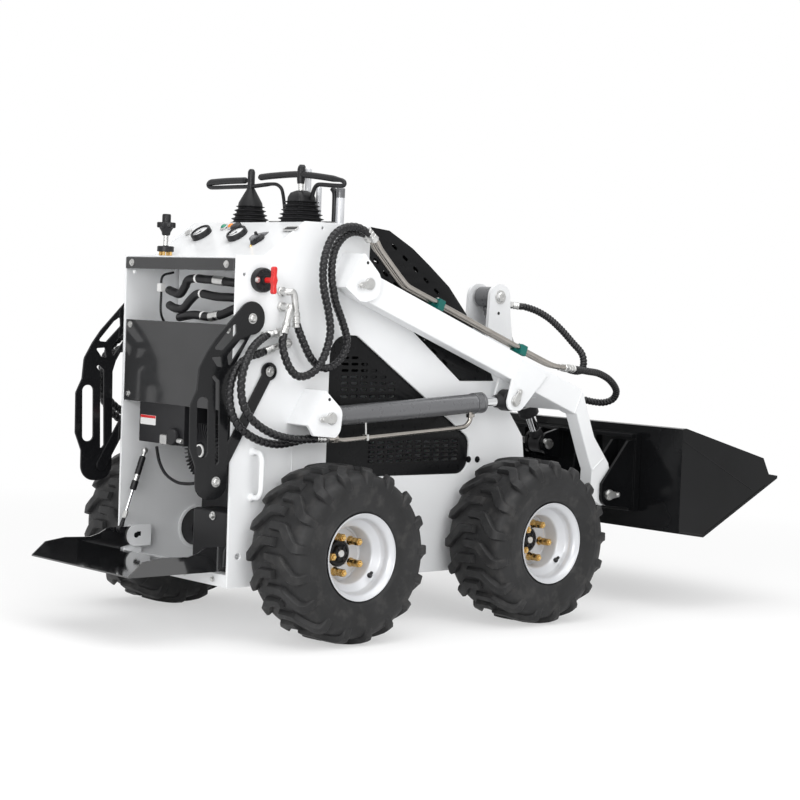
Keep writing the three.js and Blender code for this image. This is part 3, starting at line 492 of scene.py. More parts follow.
def finish(name, slot, colour, rough, metal=0.0, coat=0.0, tone=0.05, tone_scale=5.0, patch=0.06,
           grain=0.1, grain_scale=900.0, stretch=(1, 1, 1), dirt=None, dirt_share=(0.55, 0.8), ior=1.45):
    """Tone noise on the colour, patch noise on the roughness, grain noise on the bump; dirt adds
    a second colour where a middle-sized noise is high."""
    made = bpy.data.materials.new(name)
    made.use_nodes = True
    tree = made.node_tree
    shader = tree.nodes["Principled BSDF"]
    dark, light = (tuple(min(1.0, c * (1 + s * tone)) for c in colour) for s in (-1, 1))
    paint = blended(tree, ranged(tree, noise(tree, tone_scale, stretch=stretch), 0, 1), dark, light)
    if dirt:
        share = ranged(tree, noise(tree, 28.0, 6.0), 0.0, 1.0, *dirt_share)
        paint = blended(tree, share, paint, dirt)
    tree.links.new(paint, shader.inputs["Base Color"])
    gloss = noise(tree, 38.0, 4.0, stretch)
    tree.links.new(ranged(tree, gloss, max(0.02, rough - patch), rough + patch), shader.inputs["Roughness"])
    bump = tree.nodes.new("ShaderNodeBump")
    bump.inputs["Strength"].default_value = grain
    bump.inputs["Distance"].default_value = 0.0006
    tree.links.new(noise(tree, grain_scale, 2.0, stretch), bump.inputs["Height"])
    tree.links.new(bump.outputs["Normal"], shader.inputs["Normal"])
    shader.inputs["Metallic"].default_value = metal
    shader.inputs["IOR"].default_value = ior
    shader.inputs["Coat Weight"].default_value = coat
    shader.inputs["Coat Roughness"].default_value = 0.08
    if slot:
        made["record_slot"] = slot
    FINISHES[name] = made
    return made


# %% [markdown]
# ## The machine's own finishes
# White and black powder coat carry the faint orange peel of baked powder. Cylinder barrels are a
# dark metallic grey, rods are hard chrome, fittings are zinc, and the tyres are matt rubber with
# a little dry dust on their faces.

# %% Paint, metal, rubber and plastic
WHITE = finish("white_powder_coat", "white_paint", (0.80, 0.81, 0.82), 0.34, coat=0.15, tone=0.02,
               grain=0.05, patch=0.05)
BLACK = finish("black_powder_coat", "black_paint", (0.0065, 0.0067, 0.0073), 0.3, tone=0.2, grain=0.08,
               ior=1.24)
GLOSS = finish("black_gloss_coat", "black_paint", (0.007, 0.0072, 0.008), 0.18, coat=0.08, tone=0.2,
               grain=0.04, grain_scale=300.0, patch=0.07, ior=1.36)
BUCKET = finish("black_bucket_enamel", "black_paint", (0.005, 0.0052, 0.0057), 0.13, tone=0.25, grain=0.03,
                grain_scale=300.0, patch=0.05, ior=1.26)
DECK = finish("black_deck_enamel", "black_paint", (0.01, 0.0102, 0.011), 0.06, coat=1.0, tone=0.2,
              grain=0.01,
              patch=0.03, ior=1.6)
COVER = finish("charcoal_cover_coat", "black_paint", (0.03, 0.0303, 0.0315), 0.15, coat=0.2, tone=0.12,
               grain=0.02, patch=0.05, ior=1.4)
GUNMETAL = finish("gunmetal_barrel", "gunmetal_paint", (0.13, 0.132, 0.138), 0.3, metal=0.3, coat=0.3,
                  tone=0.04,
                  grain=0.001, grain_scale=500.0)
CHROME = finish("hard_chrome", "chrome_rod", (0.78, 0.79, 0.80), 0.1, metal=1.0, tone=0.03, patch=0.03,
                grain=0.03, stretch=(1, 0.1, 0.1))
ZINC = finish("zinc_plate", "zinc_steel", (0.60, 0.60, 0.59), 0.3, metal=0.9, tone=0.08, tone_scale=60.0,
              grain=0.015)
PIPE = finish("drawn_steel_pipe", "zinc_steel", (0.40, 0.375, 0.345), 0.2, metal=1.0, tone=0.1,
              tone_scale=25.0, grain=0.008)
CASTING = finish("black_casting", "engine_casting", (0.016, 0.016, 0.0175), 0.5, metal=0.1, ior=1.35,
                 tone=0.25,
                 grain=0.5, grain_scale=420.0)
SILVER = finish("silver_wheel_paint", "rim_paint", (0.60, 0.61, 0.63), 0.36, metal=0.25, tone=0.03,
                grain=0.06, coat=0.1)
RUBBER = finish("tyre_rubber", "tyre_rubber", (0.018, 0.018, 0.0186), 0.5, tone=0.25, tone_scale=14.0,
                grain=0.3, grain_scale=650.0, dirt=(0.05, 0.048, 0.046), dirt_share=(0.52, 0.9), ior=1.35)
GUARD = finish("spiral_hose_guard", "hose_rubber", (0.01, 0.01, 0.0112), 0.24, tone=0.2, grain=0.04,
               ior=1.4)
SLEEVE = finish("smooth_hose_sleeve", "hose_rubber", (0.011, 0.011, 0.012), 0.42, tone=0.25, grain=0.12,
                ior=1.35)
PLASTIC = finish("moulded_black_plastic", "black_plastic", (0.013, 0.013, 0.0145), 0.36, tone=0.15,
                 ior=1.35,
                 grain=0.2, grain_scale=1400.0)
BRASS = finish("brass_nut", None, (0.72, 0.47, 0.17), 0.26, metal=1.0, tone=0.1, tone_scale=40.0,
               grain=0.02)
TEAL = finish("teal_clamp", None, (0.0, 0.115, 0.098), 0.4, tone=0.1, grain=0.1)
RED = finish("red_key", None, (0.56, 0.012, 0.012), 0.32, coat=0.3, tone=0.08)
GREEN = finish("green_lamp", None, (0.0, 0.22, 0.12), 0.2, coat=0.6, tone=0.1)
AMBER = finish("amber_lamp", None, (0.75, 0.22, 0.01), 0.2, coat=0.6, tone=0.1)
FACE = finish("gauge_face", None, (0.75, 0.76, 0.77), 0.12, coat=1.0, tone=0.02)
LABEL = finish("blank_label", None, (0.72, 0.72, 0.71), 0.4, tone=0.02)
print(len(FINISHES), "finishes")

# %% [markdown]
# ## Hoses
# Each hydraulic hose runs inside a coiled plastic guard, with a smooth sleeve at each end and a
# crimped steel ferrule where it meets its fitting. The route is a list of given points.
# Hoses come first because they settle how far the machine spreads in the view.

# %% Routes
HOSE_R = 11.5
ROUTES = {
    "tilt_hose_base": (
        (-302, 455.9, 879.4), (-302, 453.4, 864.2), (-303, 435, 823), (-303, 399, 767), (-303, 358, 742),
        (-303, 317, 748), (-303, 284, 780), (-303, 274, 820), (-308, 296, 868), (-320, 333, 921),
        (-328, 350, 957), (-328, 357, 990), (-322, 352, 1035), (-310, 330, 1076), (-298, 292, 1107),
        (-290, 252, 1120), (-287.5, 213.2, 1116.1), (-287.5, 200.5, 1107.3),
    ),
    "tilt_hose_rod": (
        (-309, 496.1, 851.4), (-309, 499.9, 836.5), (-314, 508, 800), (-326, 498, 752), (-329, 470, 722),
        (-329, 431, 722), (-329, 393, 746), (-329, 368, 790), (-329, 356, 842), (-329, 365, 896),
        (-329, 385, 962), (-328, 388, 1020), (-326, 376, 1066), (-321, 351, 1104), (-316, 310, 1128),
        (-312, 260, 1133), (-312.5, 213.2, 1116.1), (-312.5, 200.5, 1107.3),
    ),
    "tilt_hose_front_base": (
        (-287.5, -606.5, 748.9), (-287.5, -624, 746.5), (-286.5, -650, 741), (-284, -682, 738),
        (-278, -708, 745), (-270, -722, 768), (-258, -722, 795), (-225, -716, 825), (-185, -704, 864),
        (-140, -693, 898), (-95, -682, 920), (-58, -668, 931), (-40, -654.1, 933.3), (-30.3, -639.8, 935.1),
    ),
    "tilt_hose_front_rod": (
        (-312.5, -606.5, 748.9), (-312.5, -624, 747), (-312.5, -650, 744), (-311, -700, 739),
        (-300, -762, 732), (-290, -824, 711), (-272, -876, 678), (-246, -893, 650), (-218, -882, 636),
        (-188, -864, 636), (-152, -846, 642), (-112, -816, 643), (-80, -783, 641), (-60.1, -768.7, 636.7),
        (-44.4, -761.8, 632.9),
    ),
    "lift_hose_rod": (
        (284, 522.6, 830.9), (284, 538.1, 827.3), (302, 576, 814), (320, 612, 794), (330, 638, 764),
        (335, 656, 720), (336, 657, 670), (336, 638, 623), (336, 595, 587), (336, 536, 561),
        (334, 468, 549), (331, 410, 548), (330, 380.3, 548.5), (330, 364.9, 548.1),
    ),
    "lift_hose_base": (
        (284, 528.6, 788.8), (284, 543.7, 784), (294, 574, 777), (302, 612, 768), (306, 650, 742),
        (309, 673, 698), (310, 675, 650), (310, 660, 606), (310, 624, 570), (310, 572, 545),
        (310, 514, 534), (308, 460, 538), (306, 412, 546), (306, 380.3, 548.5), (306, 364.9, 548.1),
    ),
}

# %% The guard's surface and the ferrules
BEAD_PITCH = {"lift": 17.0, "tilt": 15.0, "front": 10.5}
SLEEVE_LENGTH = 34.0


def guarded(path, pitch):
    """r(s, t) = R (0.71 + 0.29 sqrt|cos(pi s / pitch - t / 2)|): a bead that winds once per pitch.
    Near either end the bead fades into a smooth sleeve a little thinner than the guard."""
    steps = np.linalg.norm(np.diff(path, axis=0), axis=1)
    s = np.concatenate([[0], np.cumsum(steps)])[:, None]
    t = (np.arange(18) * TURN / 18)[None]
    bead = 0.71 + 0.29 * np.sqrt(np.abs(np.cos(math.pi * s / pitch - t / 2)))
    inside = np.clip(np.minimum(s, s[-1] - s) - SLEEVE_LENGTH, 0, 2) / 2
    return tube(path, HOSE_R * (0.9 * (1 - inside) + bead * inside), 18)


def ferrule(path, end):
    """A crimped sleeve with two rings, and a hexagon nut against the fitting."""
    at, beyond = (path[0], path[3]) if end == 0 else (path[-1], path[-4])
    shell = [(-2, 8), (0, 11.6), (5, 11.8), (6, 10.8), (11, 10.8), (12, 11.8), (17, 11.8), (18, 10.8),
             (23, 10.8), (24, 11.6), (28, 11.4), (29, 10.2)]
    nut = [(-13, 9), (-12, 11), (-3, 11), (-2, 9)]
    return joined(turned(shell, at, beyond - at, 24), turned(nut, at, beyond - at, 6))


# node, route, side (0 as drawn, 1 mirrored), bodies, and where the bend starts and ends
HOSES = (
    ("tilt_hose_base", "tilt_hose_base", 0, ("chassis", "lift_arm"), (330, 900), (215, 1112)),
    ("tilt_hose_rod", "tilt_hose_rod", 0, ("chassis", "lift_arm"), (350, 900), (215, 1112)),
    ("tilt_hose_front_base", "tilt_hose_front_base", 0, ("lift_arm", "tilt_barrel"), (-700, 860),
     (-645, 935)),
    ("tilt_hose_front_rod", "tilt_hose_front_rod", 0, ("lift_arm", "tilt_barrel"), (-880, 660),
     (-765, 634)),
    ("lift_hose_rod_right", "lift_hose_rod", -1, ("chassis", "lift_barrel_right"), (640, 640), (440, 530)),
    ("lift_hose_rod_left", "lift_hose_rod", 1, ("chassis", "lift_barrel_left"), (640, 640), (440, 530)),
    ("lift_hose_base_right", "lift_hose_base", -1, ("chassis", "lift_barrel_right"), (640, 640),
     (440, 530)),
    ("lift_hose_base_left", "lift_hose_base", 1, ("chassis", "lift_barrel_left"), (640, 640), (440, 530)),
)
for node, route, side, bodies, start, end in HOSES:
    path = curve(np.array(ROUTES[route]) * ((side or 1), 1, 1), step=1.3)
    pitch = BEAD_PITCH["front" if "front" in node else node[:4]]
    piece = make(f"{node}_guard", guarded(path, pitch), None, GUARD, (node,), smooth_normals=False)
    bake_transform(piece, *bodies, start=metres((0, *start)), end=metres((0, *end)))
    ends = [make(f"{node}_ferrule_{k}", ferrule(path, k), bodies[k], ZINC) for k in (0, 1)]

# %% [markdown]
# ## Tyres
# An industrial tread: seventeen lugs a side, each a square head that crosses the middle, a
# slanted arm and a square shoulder that runs down the sidewall. The heads of the two sides
# interleave, and the middle of every lug leads when the machine drives forward.

# %% Tyre sizes
LUGS = 17
TYRE_R = 242.5
PITCH_ANGLE = TURN / LUGS
# across from the middle, and radius, of the casing
CASING = (
    (100, 119.4), (106, 125), (111, 140), (114.6, 160), (115.2, 180), (113.4, 196), (108.5, 208),
    (101, 216.5), (85, 223.5), (60, 227), (30, 228.6), (0, 229),
)
# one lug from head to sidewall: casing across and radius, top across and radius, lead, trail
LUG = np.array([
    (-19, 228.0, -19, 228.2, -13, 13), (-15, 228.8, -14, 241.6, -11, 11), (28, 228.5, 28, 242.3, -11, 12),
    (36, 228.2, 36, 242.1, -11, 16), (50, 227.4, 50, 241.5, -7, 30), (75, 225.3, 75, 239.8, 18, 57),
    (91, 221.5, 93, 236.5, 36, 66), (101, 216.0, 106, 230.0, 41, 67), (108, 208.5, 113.4, 219.0, 42, 66),
    (112.2, 200.0, 115.4, 206.0, 43, 65), (114.0, 191.0, 115.3, 192.5, 44, 64),
])


def casing():
    """The section is mirrored, smoothed and turned; two shallow rings stand out on each wall."""
    half = np.array(CASING)
    section = np.vstack([half, half[-2::-1] * (-1, 1)])
    smooth = curve(np.column_stack([section, np.zeros(len(section))]), step=4.0)[:, :2]
    across_wall, r = smooth.T
    ring = 1.3 * np.exp(-(((r - 133) / 1.6) ** 2)) + 0.9 * np.exp(-(((r - 176) / 1.3) ** 2))
    across_wall = across_wall + np.sign(across_wall) * ring
    inner = [(-88, 105.5), (88, 105.5)]
    return turned(np.vstack([np.column_stack([across_wall, r]), inner]), (0, 0, 0), (1, 0, 0), 132,
                  ring=True)


def tread():
    """A lug's rows lie from casing over the top and back; b along the tread is an angle b / R.

    Each lug is copied by turning: angle = k pitch - b / R; the far side is mirrored half a pitch on.
    """
    u = np.arange(len(LUG))
    fine = np.unique(np.concatenate([u, np.linspace(0, u[-1], 31)]))
    low_a, low_r, top_a, top_r, lead, trail = (np.interp(fine, u, c) for c in LUG.T)
    share = np.array([0, 0.0, 0.07, 0.35, 0.65, 0.93, 1.0, 1])
    draft = np.array([-4, 0, 0, 0, 0, 0, 0, 4])
    lift = np.array([-0.2, 0.88, 1, 1, 1, 1, 0.88, -0.2])
    a = low_a[:, None] + (top_a - low_a)[:, None] * lift
    r = low_r[:, None] + (top_r - low_r)[:, None] * lift
    b = lead[:, None] + (trail - lead)[:, None] * share + draft
    turns = np.arange(LUGS) * PITCH_ANGLE
    forms = []
    for side in (1, -1):
        angle = turns[:, None, None] + (side < 0) * PITCH_ANGLE / 2 - b[None] / TYRE_R
        x = np.broadcast_to(side * a[None], angle.shape)
        grid = np.stack([x, r * np.cos(angle), r * np.sin(angle)], -1)
        count = grid[0, ..., 0].size
        faces = quads(*b.shape, close_columns=True)
        every = (faces[None] + (np.arange(LUGS) * count)[:, None, None]).reshape(-1, 4)
        rows = np.arange(b.shape[1])
        ends = np.stack([rows, rows + count - b.shape[1]])
        caps = (ends[None] + (np.arange(LUGS) * count)[:, None, None]).reshape(-1, b.shape[1])
        forms.append((grid.reshape(-1, 3), [every, caps]))
    return joined(*forms)


# %% [markdown]
# ## Rims
# A pressed steel wheel: rolled flange, bead seat, drop well, and a disc set in the well with
# five long brass nuts round a black motor hub.

# %% Rim and nuts
RIM = (
    (107, 116.6), (106.8, 118.4), (105.4, 119), (102.5, 118), (100.5, 112), (94, 106), (86, 104.6),
    (-86, 104.6), (-94, 106), (-100.5, 112), (-102.5, 118), (-105.4, 119), (-106.8, 118.4), (-107, 116.6),
    (-104, 113.5), (-98, 107.5), (-90, 101.5), (-69, 99.5), (-66, 97), (-54, 81), (-51, 78.5), (-2, 78),
    (-2, 38.5), (-1, 37.5), (4, 37.5), (5.2, 38.5), (5.4, 68), (7.2, 70), (7.2, 71.6), (5, 72.4), (5.6, 75),
    (9, 77), (46, 77.4), (51, 78.4), (54.5, 81.5), (65.5, 96.8), (68.6, 99.4), (73, 100.3), (76, 102.4),
    (79, 102.6), (89, 103), (94.5, 105.4), (99.5, 110), (103, 114.6), (104.4, 116.2), (105.8, 115.8),
)
DISC = 5.0
NUT_CIRCLE = 51.0
FIRST_NUT = {"rear": 1.19, "front": 0.75}


def wheel_nuts(first):
    """Five long brass nuts: a taper, a round collar and a six-sided head, with a stud's end."""
    taper = [(-2, 13), (3, 12.6), (8, 9.6)]
    collar = [(7, 9.6), (9, 10.4), (22, 10.4), (24, 9.2)]
    head = [(23, 9.4), (25, 11), (40, 11), (42.5, 9.2)]
    stud = [(41, 6.2), (45, 5.8), (46.5, 4.4)]
    forms = []
    for q in first + np.arange(5) * TURN / 5:
        at = (DISC, NUT_CIRCLE * math.cos(q), NUT_CIRCLE * math.sin(q))
        for profile, sides in ((taper, 24), (collar, 24), (head, 6), (stud, 14)):
            forms.append(turned(profile, at, (1, 0, 0), sides))
    return joined(*forms)


def hub():
    """A round motor shaft end in the disc's bore, with a castellated nut and a pale centre."""
    barrel = [(-12, 35), (5, 35), (9, 33), (9.5, 27), (6, 26)]
    nut = [(2, 23), (13, 23), (15, 21.5), (15, 13), (11, 12)]
    points, faces = box_form(-3.2, 3.2, 12, 22, 0, 5, 0.6)
    x, y, z = points.T
    turned_teeth = []
    for q in np.arange(6) * TURN / 6:
        ring = np.stack([13 + z, y * math.cos(q) - x * math.sin(q), y * math.sin(q) + x * math.cos(q)], 1)
        turned_teeth.append((ring, faces))
    return joined(turned(barrel, (0, 0, 0), (1, 0, 0), 48), turned(nut, (0, 0, 0), (1, 0, 0), 6),
                  *turned_teeth)


SHAFT = turned([(9, 10.4), (17.5, 10.4), (19, 9)], (0, 0, 0), (1, 0, 0), 28)
VALVE_FOOT = (61.0, -67.0, -58.0)
VALVE_WAY = (0.8, 0.46, 0.39)
VALVE = joined(turned([(-6, 7.6), (2, 7.4), (5, 6), (8, 4.4), (17, 4.2)], VALVE_FOOT, VALVE_WAY, 20),
               turned([(17, 4.6), (27, 4.6), (28, 3.8)], VALVE_FOOT, VALVE_WAY, 12))

# %% Four wheels
parts = (("tyre_casing", casing(), RUBBER, "tyre"), ("tread", tread(), RUBBER, None),
         ("rim", turned(RIM, (0, 0, 0), (1, 0, 0), 96, ring=True), SILVER, "rim"),
         ("hub", hub(), CASTING, None), ("shaft", SHAFT, ZINC, None), ("valve", VALVE, SLEEVE, None))
for end in ("front", "rear"):
    nuts = ("nuts", wheel_nuts(FIRST_NUT[end]), BRASS, None)
    for name, side in SIDES:
        centre = middle(f"rim_{end}_{name}")
        centre[0] = middle(f"tyre_{end}_{name}")[0]
        for part, form, coat, stands_for in (*parts, nuts):
            nodes = (f"{stands_for}_{end}_{name}",) if stands_for else ()
            placed = shifted((form[0] * (side, 1, 1), form[1]), centre)
            make(f"{part}_{end}_{name}", placed, f"wheel_{end}_{name}", coat, nodes, smooth_normals=False)
print("four wheels with", 2 * LUGS, "lugs each")

# %% [markdown]
# ## Body plates
# The body is laser-cut sheet, welded and powder coated. Each plate is its outline with holes,
# given thickness and softly rounded edges, so light catches the rims of the openings.

# %% Side plates
SIDE_OUT = 267.0
SIDE_IN = 259.0
NOSE_TOP = 705
SIDE_OUTLINE = rounded([
    (632, 144), (636, 1038), (543, 1041), (406, 1142, 10), (170, 1142, 4), (173, 978), (-197, NOSE_TOP),
    (-350, NOSE_TOP), (-413, 606), (-468, 537), (-478, 464), (-478, 190), (-432, 144),
])
WINDOW = rounded([(303, 432, 24), (303, 833, 58), (205, 832, 26), (-246, 535, 40), (-243, 430, 46)])
AXLES = (("front", -364.0), ("rear", 364.0))
SMALL_HOLES = ((599, 228, 8.5), (608, 988, 5), (345, 1126, 4), (60, 318, 4))
PORTS = (
    ((484, 946), 302, (466, 940), (456, 880), "right"), ((482, 905), 309, (485, 897), (496, 852), "right"),
    ((488, 834), 284, (500, 836), (522, 831), "both"), ((460, 807), 284, (476, 806), (528, 789), "both"),
)


def fitting(port, side):
    """A lock nut on the plate, a bulkhead stem, an elbow and the hose's swivel nut."""
    (y, z), out, bend, end, _ = port
    stem = turned([(SIDE_OUT - 2, 13), (SIDE_OUT + 0.4, 14.5), (SIDE_OUT + 7, 14.5), (SIDE_OUT + 8, 13)],
                  (0, y, z), (1, 0, 0), 6)
    thread = rod((SIDE_OUT - 6, y, z), (out - 2, y, z), 9.6)
    shoulder = turned([(out - 13, 9), (out - 12, 11.6), (out - 4, 11.6), (out - 3, 9)], (0, y, z),
                      (1, 0, 0), 6)
    elbow = tube(curve([(out - 9, y, z), (out - 2, y, z), (out, *bend), (out, *end)], 2.0), 9.4, 16)
    return flipped(joined(*[(p * (-1, 1, 1), f) for p, f in (stem, thread, shoulder, elbow)]), side)


for name, side in SIDES:
    holes = [WINDOW] + [circle(y, AXLE_Z, 34) for _, y in AXLES] + [circle(*h) for h in SMALL_HOLES]
    form = flipped(plate(SIDE_OUTLINE, -SIDE_OUT, -SIDE_IN, holes, 1.6), side)
    make(f"side_plate_{name}_sheet", form, "chassis", WHITE, (f"side_plate_{name}",))
    seam = tube(curve([(-SIDE_OUT, 425, 433), (-SIDE_OUT, 424, 480), (-SIDE_OUT, 426, 533)], 4), 1.6, 8)
    make(f"side_seam_{name}", flipped(seam, side), "chassis", WHITE)
    mine = [fitting(p, side) for p in PORTS if p[4] in (name, "both")]
    make(f"bulkhead_fittings_{name}", joined(*mine), "chassis", ZINC, smooth_normals=False)
    screws = [bolt((-SIDE_OUT, y, z), (-1, 0, 0), 6.5, 5) for y, z in ((-244, 472), (-280, 471))]
    make(f"side_bolts_{name}", flipped(joined(*screws), side), "chassis", BLACK)
for node in ("belly_pan", "front_cover", "console_panel"):
    eased(node, WHITE, 1.0)
print("side plates, pans and covers")

# %% [markdown]
# ## Vent panels and engine hood
# Behind each window sits a black panel punched with rows of slots. The hood is folded from
# perforated sheet, so daylight shows through it between the arms.

# %% Slotted panels
UPPER_ROWS = ((769, 2), (751, 3), (733, 4), (715, 5), (697, 6), (679, 6), (660, 6))
LOWER_ROWS = (528, 514.5, 501, 487.5, 474)
slots = [slot_hole(239 - 35.5 * k, z, 26, 7.5) for z, count in UPPER_ROWS for k in range(count)]
slots += [slot_hole(131 - 36.2 * k, z, 26, 7) for z in LOWER_ROWS for k in range(10)]
PANEL_OUTLINE = [(318, 416), (318, 848), (200, 848), (-262, 550), (-262, 416)]
for name, side in SIDES:
    sheet = flipped(plate(PANEL_OUTLINE, -258.7, -255.7, slots, 0.6), side)
    make(f"vent_panel_{name}_sheet", sheet, "chassis", BLACK, (f"vent_panel_{name}",), smooth_normals=False)

HOOD = [(166, 705.3), (166, 1137), (91, 1130), (0, 1084), (-69, 1037), (-148, 979), (-221, 902),
        (-300, 790),
        (-344, 705.3)]
HOOD_X = 255.0
SLOPE = math.radians(35.5)
hood_slots = []
for y, z, count in ((69, 1087, 5), (136, 1044, 1), (100, 1009, 6), (152, 972, 8), (110, 930, 8),
                    (136, 877, 8), (94, 835, 8), (120, 782, 7)):
    for k in range(count):
        a, b = y - 42.3 * k, z - 30.2 * k
        if b > 730:
            hood_slots.append(slot_hole(a, b, 25, 9, SLOPE))


def folded(p, q, half, thick, rows=0):
    """A flat sheet from p to q (both y, z), as wide as the hood, with rows of slots across it."""
    p, q = np.array(p, float), np.array(q, float)
    long = np.linalg.norm(q - p)
    along = (q - p) / long
    axes = np.array([[1, 0, 0], [0, *along], [0, along[1], -along[0]]])
    cuts = [slot_hole(x, long * (k + 0.5) / rows, 30, 9) for k in range(rows) for x in np.arange(-205, 206,
                                                                                                 45.6)]
    return plate([(-half, 0), (half, 0), (half, long), (-half, long)], 0, thick, cuts, 0.5, axes, (0, *p))


tops = [folded(p, q, HOOD_X - 0.4, 3, 2 if k else 1) for k, (p, q) in enumerate(zip(HOOD[1:-1], HOOD[2:]))]
walls = both(plate(HOOD, -HOOD_X, -HOOD_X + 3, hood_slots, 0.6))
make("hood_sheet", joined(walls, *tops), "chassis", BLACK, ("hood",), smooth_normals=False)
print(len(slots), "slots in each vent panel,", len(hood_slots), "in each side of the hood")

# %% [markdown]
# ## Brackets, guards and handles
# The pivot brackets are folded plates whose pins are held by small bolted keepers. Hip guards are
# thick black plate with a hand slot, each stiffened by a slanting brace.

# %% Pins and keepers
def keeper(x, y, z, angle, out=-1, reach=30.0):
    """A pin's round end with a dished centre, a teardrop plate on it, and the plate's bolt."""
    c, s = math.cos(angle), math.sin(angle)
    pin = turned([(-2, 17), (5, 17), (7, 15.6), (7, 8), (5.5, 6)], (x, y, z), (out, 0, 0), 40)
    t = np.linspace(0.35 * math.pi, 1.65 * math.pi, 14)
    drop = np.stack([13 * np.cos(t), 13 * np.sin(t)], 1)
    t = np.linspace(-0.4 * math.pi, 0.4 * math.pi, 8)
    drop = np.vstack([drop, np.stack([reach + 8 * np.cos(t), 8 * np.sin(t)], 1)])
    drop = np.stack([y + c * drop[:, 0] - s * drop[:, 1], z + s * drop[:, 0] + c * drop[:, 1]], 1)
    flag = plate(drop, x + out * 7, x + out * 11, edge=0.8)
    screw = bolt((x + out * 11, y + c * (reach - 2), z + s * (reach - 2)), (out, 0, 0), 5.5, 4, False)
    return joined(pin, flag, screw)


for name, side in SIDES:
    eased(f"arm_bracket_{name}", WHITE, 1.6)
    eased(f"lift_bracket_{name}", WHITE, 1.6)
    ends = joined(keeper(-362, 250, 977, -0.15, reach=38), keeper(-362, 368, 606, -0.08, reach=38))
    make(f"bracket_pins_{name}", flipped(ends, side), "chassis", ZINC)
    # Thin black discs are painted shade: they stand in for the dark inside of two small holes in each
    # bracket.
    hole_shade_discs = joined(*[turned([(0, 4.5), (0.8, 4.4)], (-362, y, z), (-1, 0, 0), 16) for y,
                    z in ((258, 1035), (377, 658))])
    make(f"bracket_hole_shade_{name}", flipped(hole_shade_discs, side), "chassis", SLEEVE)

GUARD_BOLT = (588, 871)
GUARD_OUTLINE = rounded([
    (546, 829, 43), (546, 917, 43), (608, 917, 43), (704, 818, 40), (731, 782, 40), (757, 737, 30),
    (762, 679, 10),
    (781, 640, 16), (779, 525, 16), (758, 475, 12), (757, 388, 44), (652, 388, 44), (655, 480),
    (660, 700, 8),
    (650, 731, 8), (591, 827, 4),
], 10)
GUARD_CUTS = [
    rounded([(760, 661, 16), (724, 661, 16), (719, 501, 16), (755, 501, 16)]),
    rounded([(712, 787, 4), (661, 844, 4), (640, 858, 4), (638, 831, 4), (685, 785, 4)], 4),
    rounded([(719, 766, 3), (688, 768, 3), (683, 740, 3), (699, 742, 3)], 4),
    rounded([(667, 770, 3), (625, 814, 3), (607, 814, 3), (662, 742, 3)], 4),
    rounded([(715, 713, 3), (708, 719, 3), (690, 704, 3), (682, 489, 3), (694, 476, 3), (702, 699, 3)], 4),
]


def strap_outline(a, b, half):
    """A flat bar with round ends from a to b."""
    a, b = np.array(a, float), np.array(b, float)
    facing = math.atan2(*(b - a)[::-1])
    t = np.linspace(-math.pi / 2, math.pi / 2, 10)
    end = b + half * np.stack([np.cos(facing + t), np.sin(facing + t)], 1)
    start = a + half * np.stack([np.cos(facing + math.pi + t), np.sin(facing + math.pi + t)], 1)
    return np.vstack([end, start])


for name, side in SIDES:
    guard = plate(GUARD_OUTLINE, -282, -276, GUARD_CUTS, 1.4)
    brace = plate(strap_outline((519, 729), (693, 432), 16), -275.7, -269.5, edge=1.4)
    boss = plate(circle(519, 729, 25, 40), -275.8, -269.4, edge=1.4)
    spacers = [rod((-267, y, z), (-277, y, z), 14) for y, z in (GUARD_BOLT, (519, 728))]
    whole = flipped(joined(guard, brace, boss, *spacers), side)
    make(f"hip_guard_{name}_plate", whole, "chassis", GLOSS, (f"hip_guard_{name}",))
    heads = [joined(turned([(0, 14), (1.6, 14)], at, (-1, 0, 0), 30),
                    turned([(1.6, 11), (5, 10.4), (8, 7.6),
             (8, 5), (5.5, 4.6)], at, (-1, 0, 0), 30)) for at in ((-282, *GUARD_BOLT), (-276, 519, 729),
                                                                  (-282, 692, 435))]
    make(f"guard_bolts_{name}", flipped(joined(*heads), side), "chassis", ZINC)
    grip = curve([(-267.2, 560, 388), (-284, 560, 388), (-299, 560, 392), (-308, 560, 408),
                  (-309, 560, 430),
                  (-309, 560, 470), (-308, 560, 492), (-299, 560, 508), (-284, 560, 512),
                  (-267.2, 560, 512)], 3)
    feet = [turned([(0, 12), (3, 11.5), (7, 8.4), (9, 7.4)], (-267, 560, z), (-1, 0, 0), 24) for z in (388,
                                                                                                       512)]
    make(f"grab_handle_{name}_bar", flipped(joined(tube(grip, 7.4, 20), *feet), side), "chassis", WHITE,
         (f"grab_handle_{name}",))
print("brackets, guards and handles")

# %% [markdown]
# ## Rear end
# Two charcoal covers close the back: a bar under the ledge and a plain panel. Between and below
# them the engine's fan shroud, the fuel tank and the battery can be seen.

# %% Rear covers
eased("rear_top_bar", COVER, 1.5)
eased("rear_cover", COVER, 2.0)
screws = [bolt((x, 639, z), (0, 1, 0), 7, 5.5) for x, z in ((-226, 1014), (226, 1014))]
screws += [bolt((x, 632, z), (0, 1, 0), 6.5, 5) for x in (-236, 236) for z in (838, 640)]
make("rear_bolts", joined(*screws), "chassis", ZINC)
eased("engine_block", CASTING, 5.0)


def fins(centre, inner, outer, count, y0, y1):
    """Thin radial blades of a fan housing."""
    x, z = centre
    blades = []
    for q in np.arange(count) * TURN / count:
        c, s = math.cos(q), math.sin(q)
        a = np.array([(inner, -1.6), (outer, -1.6), (outer, 1.6), (inner, 1.6)])
        flat = np.stack([x + c * a[:, 0] - s * a[:, 1], z + s * a[:, 0] + c * a[:, 1]], 1)
        blades.append(plate(flat, y0, y1, edge=0.4, axes=ACROSS_Y))
    return joined(*blades)


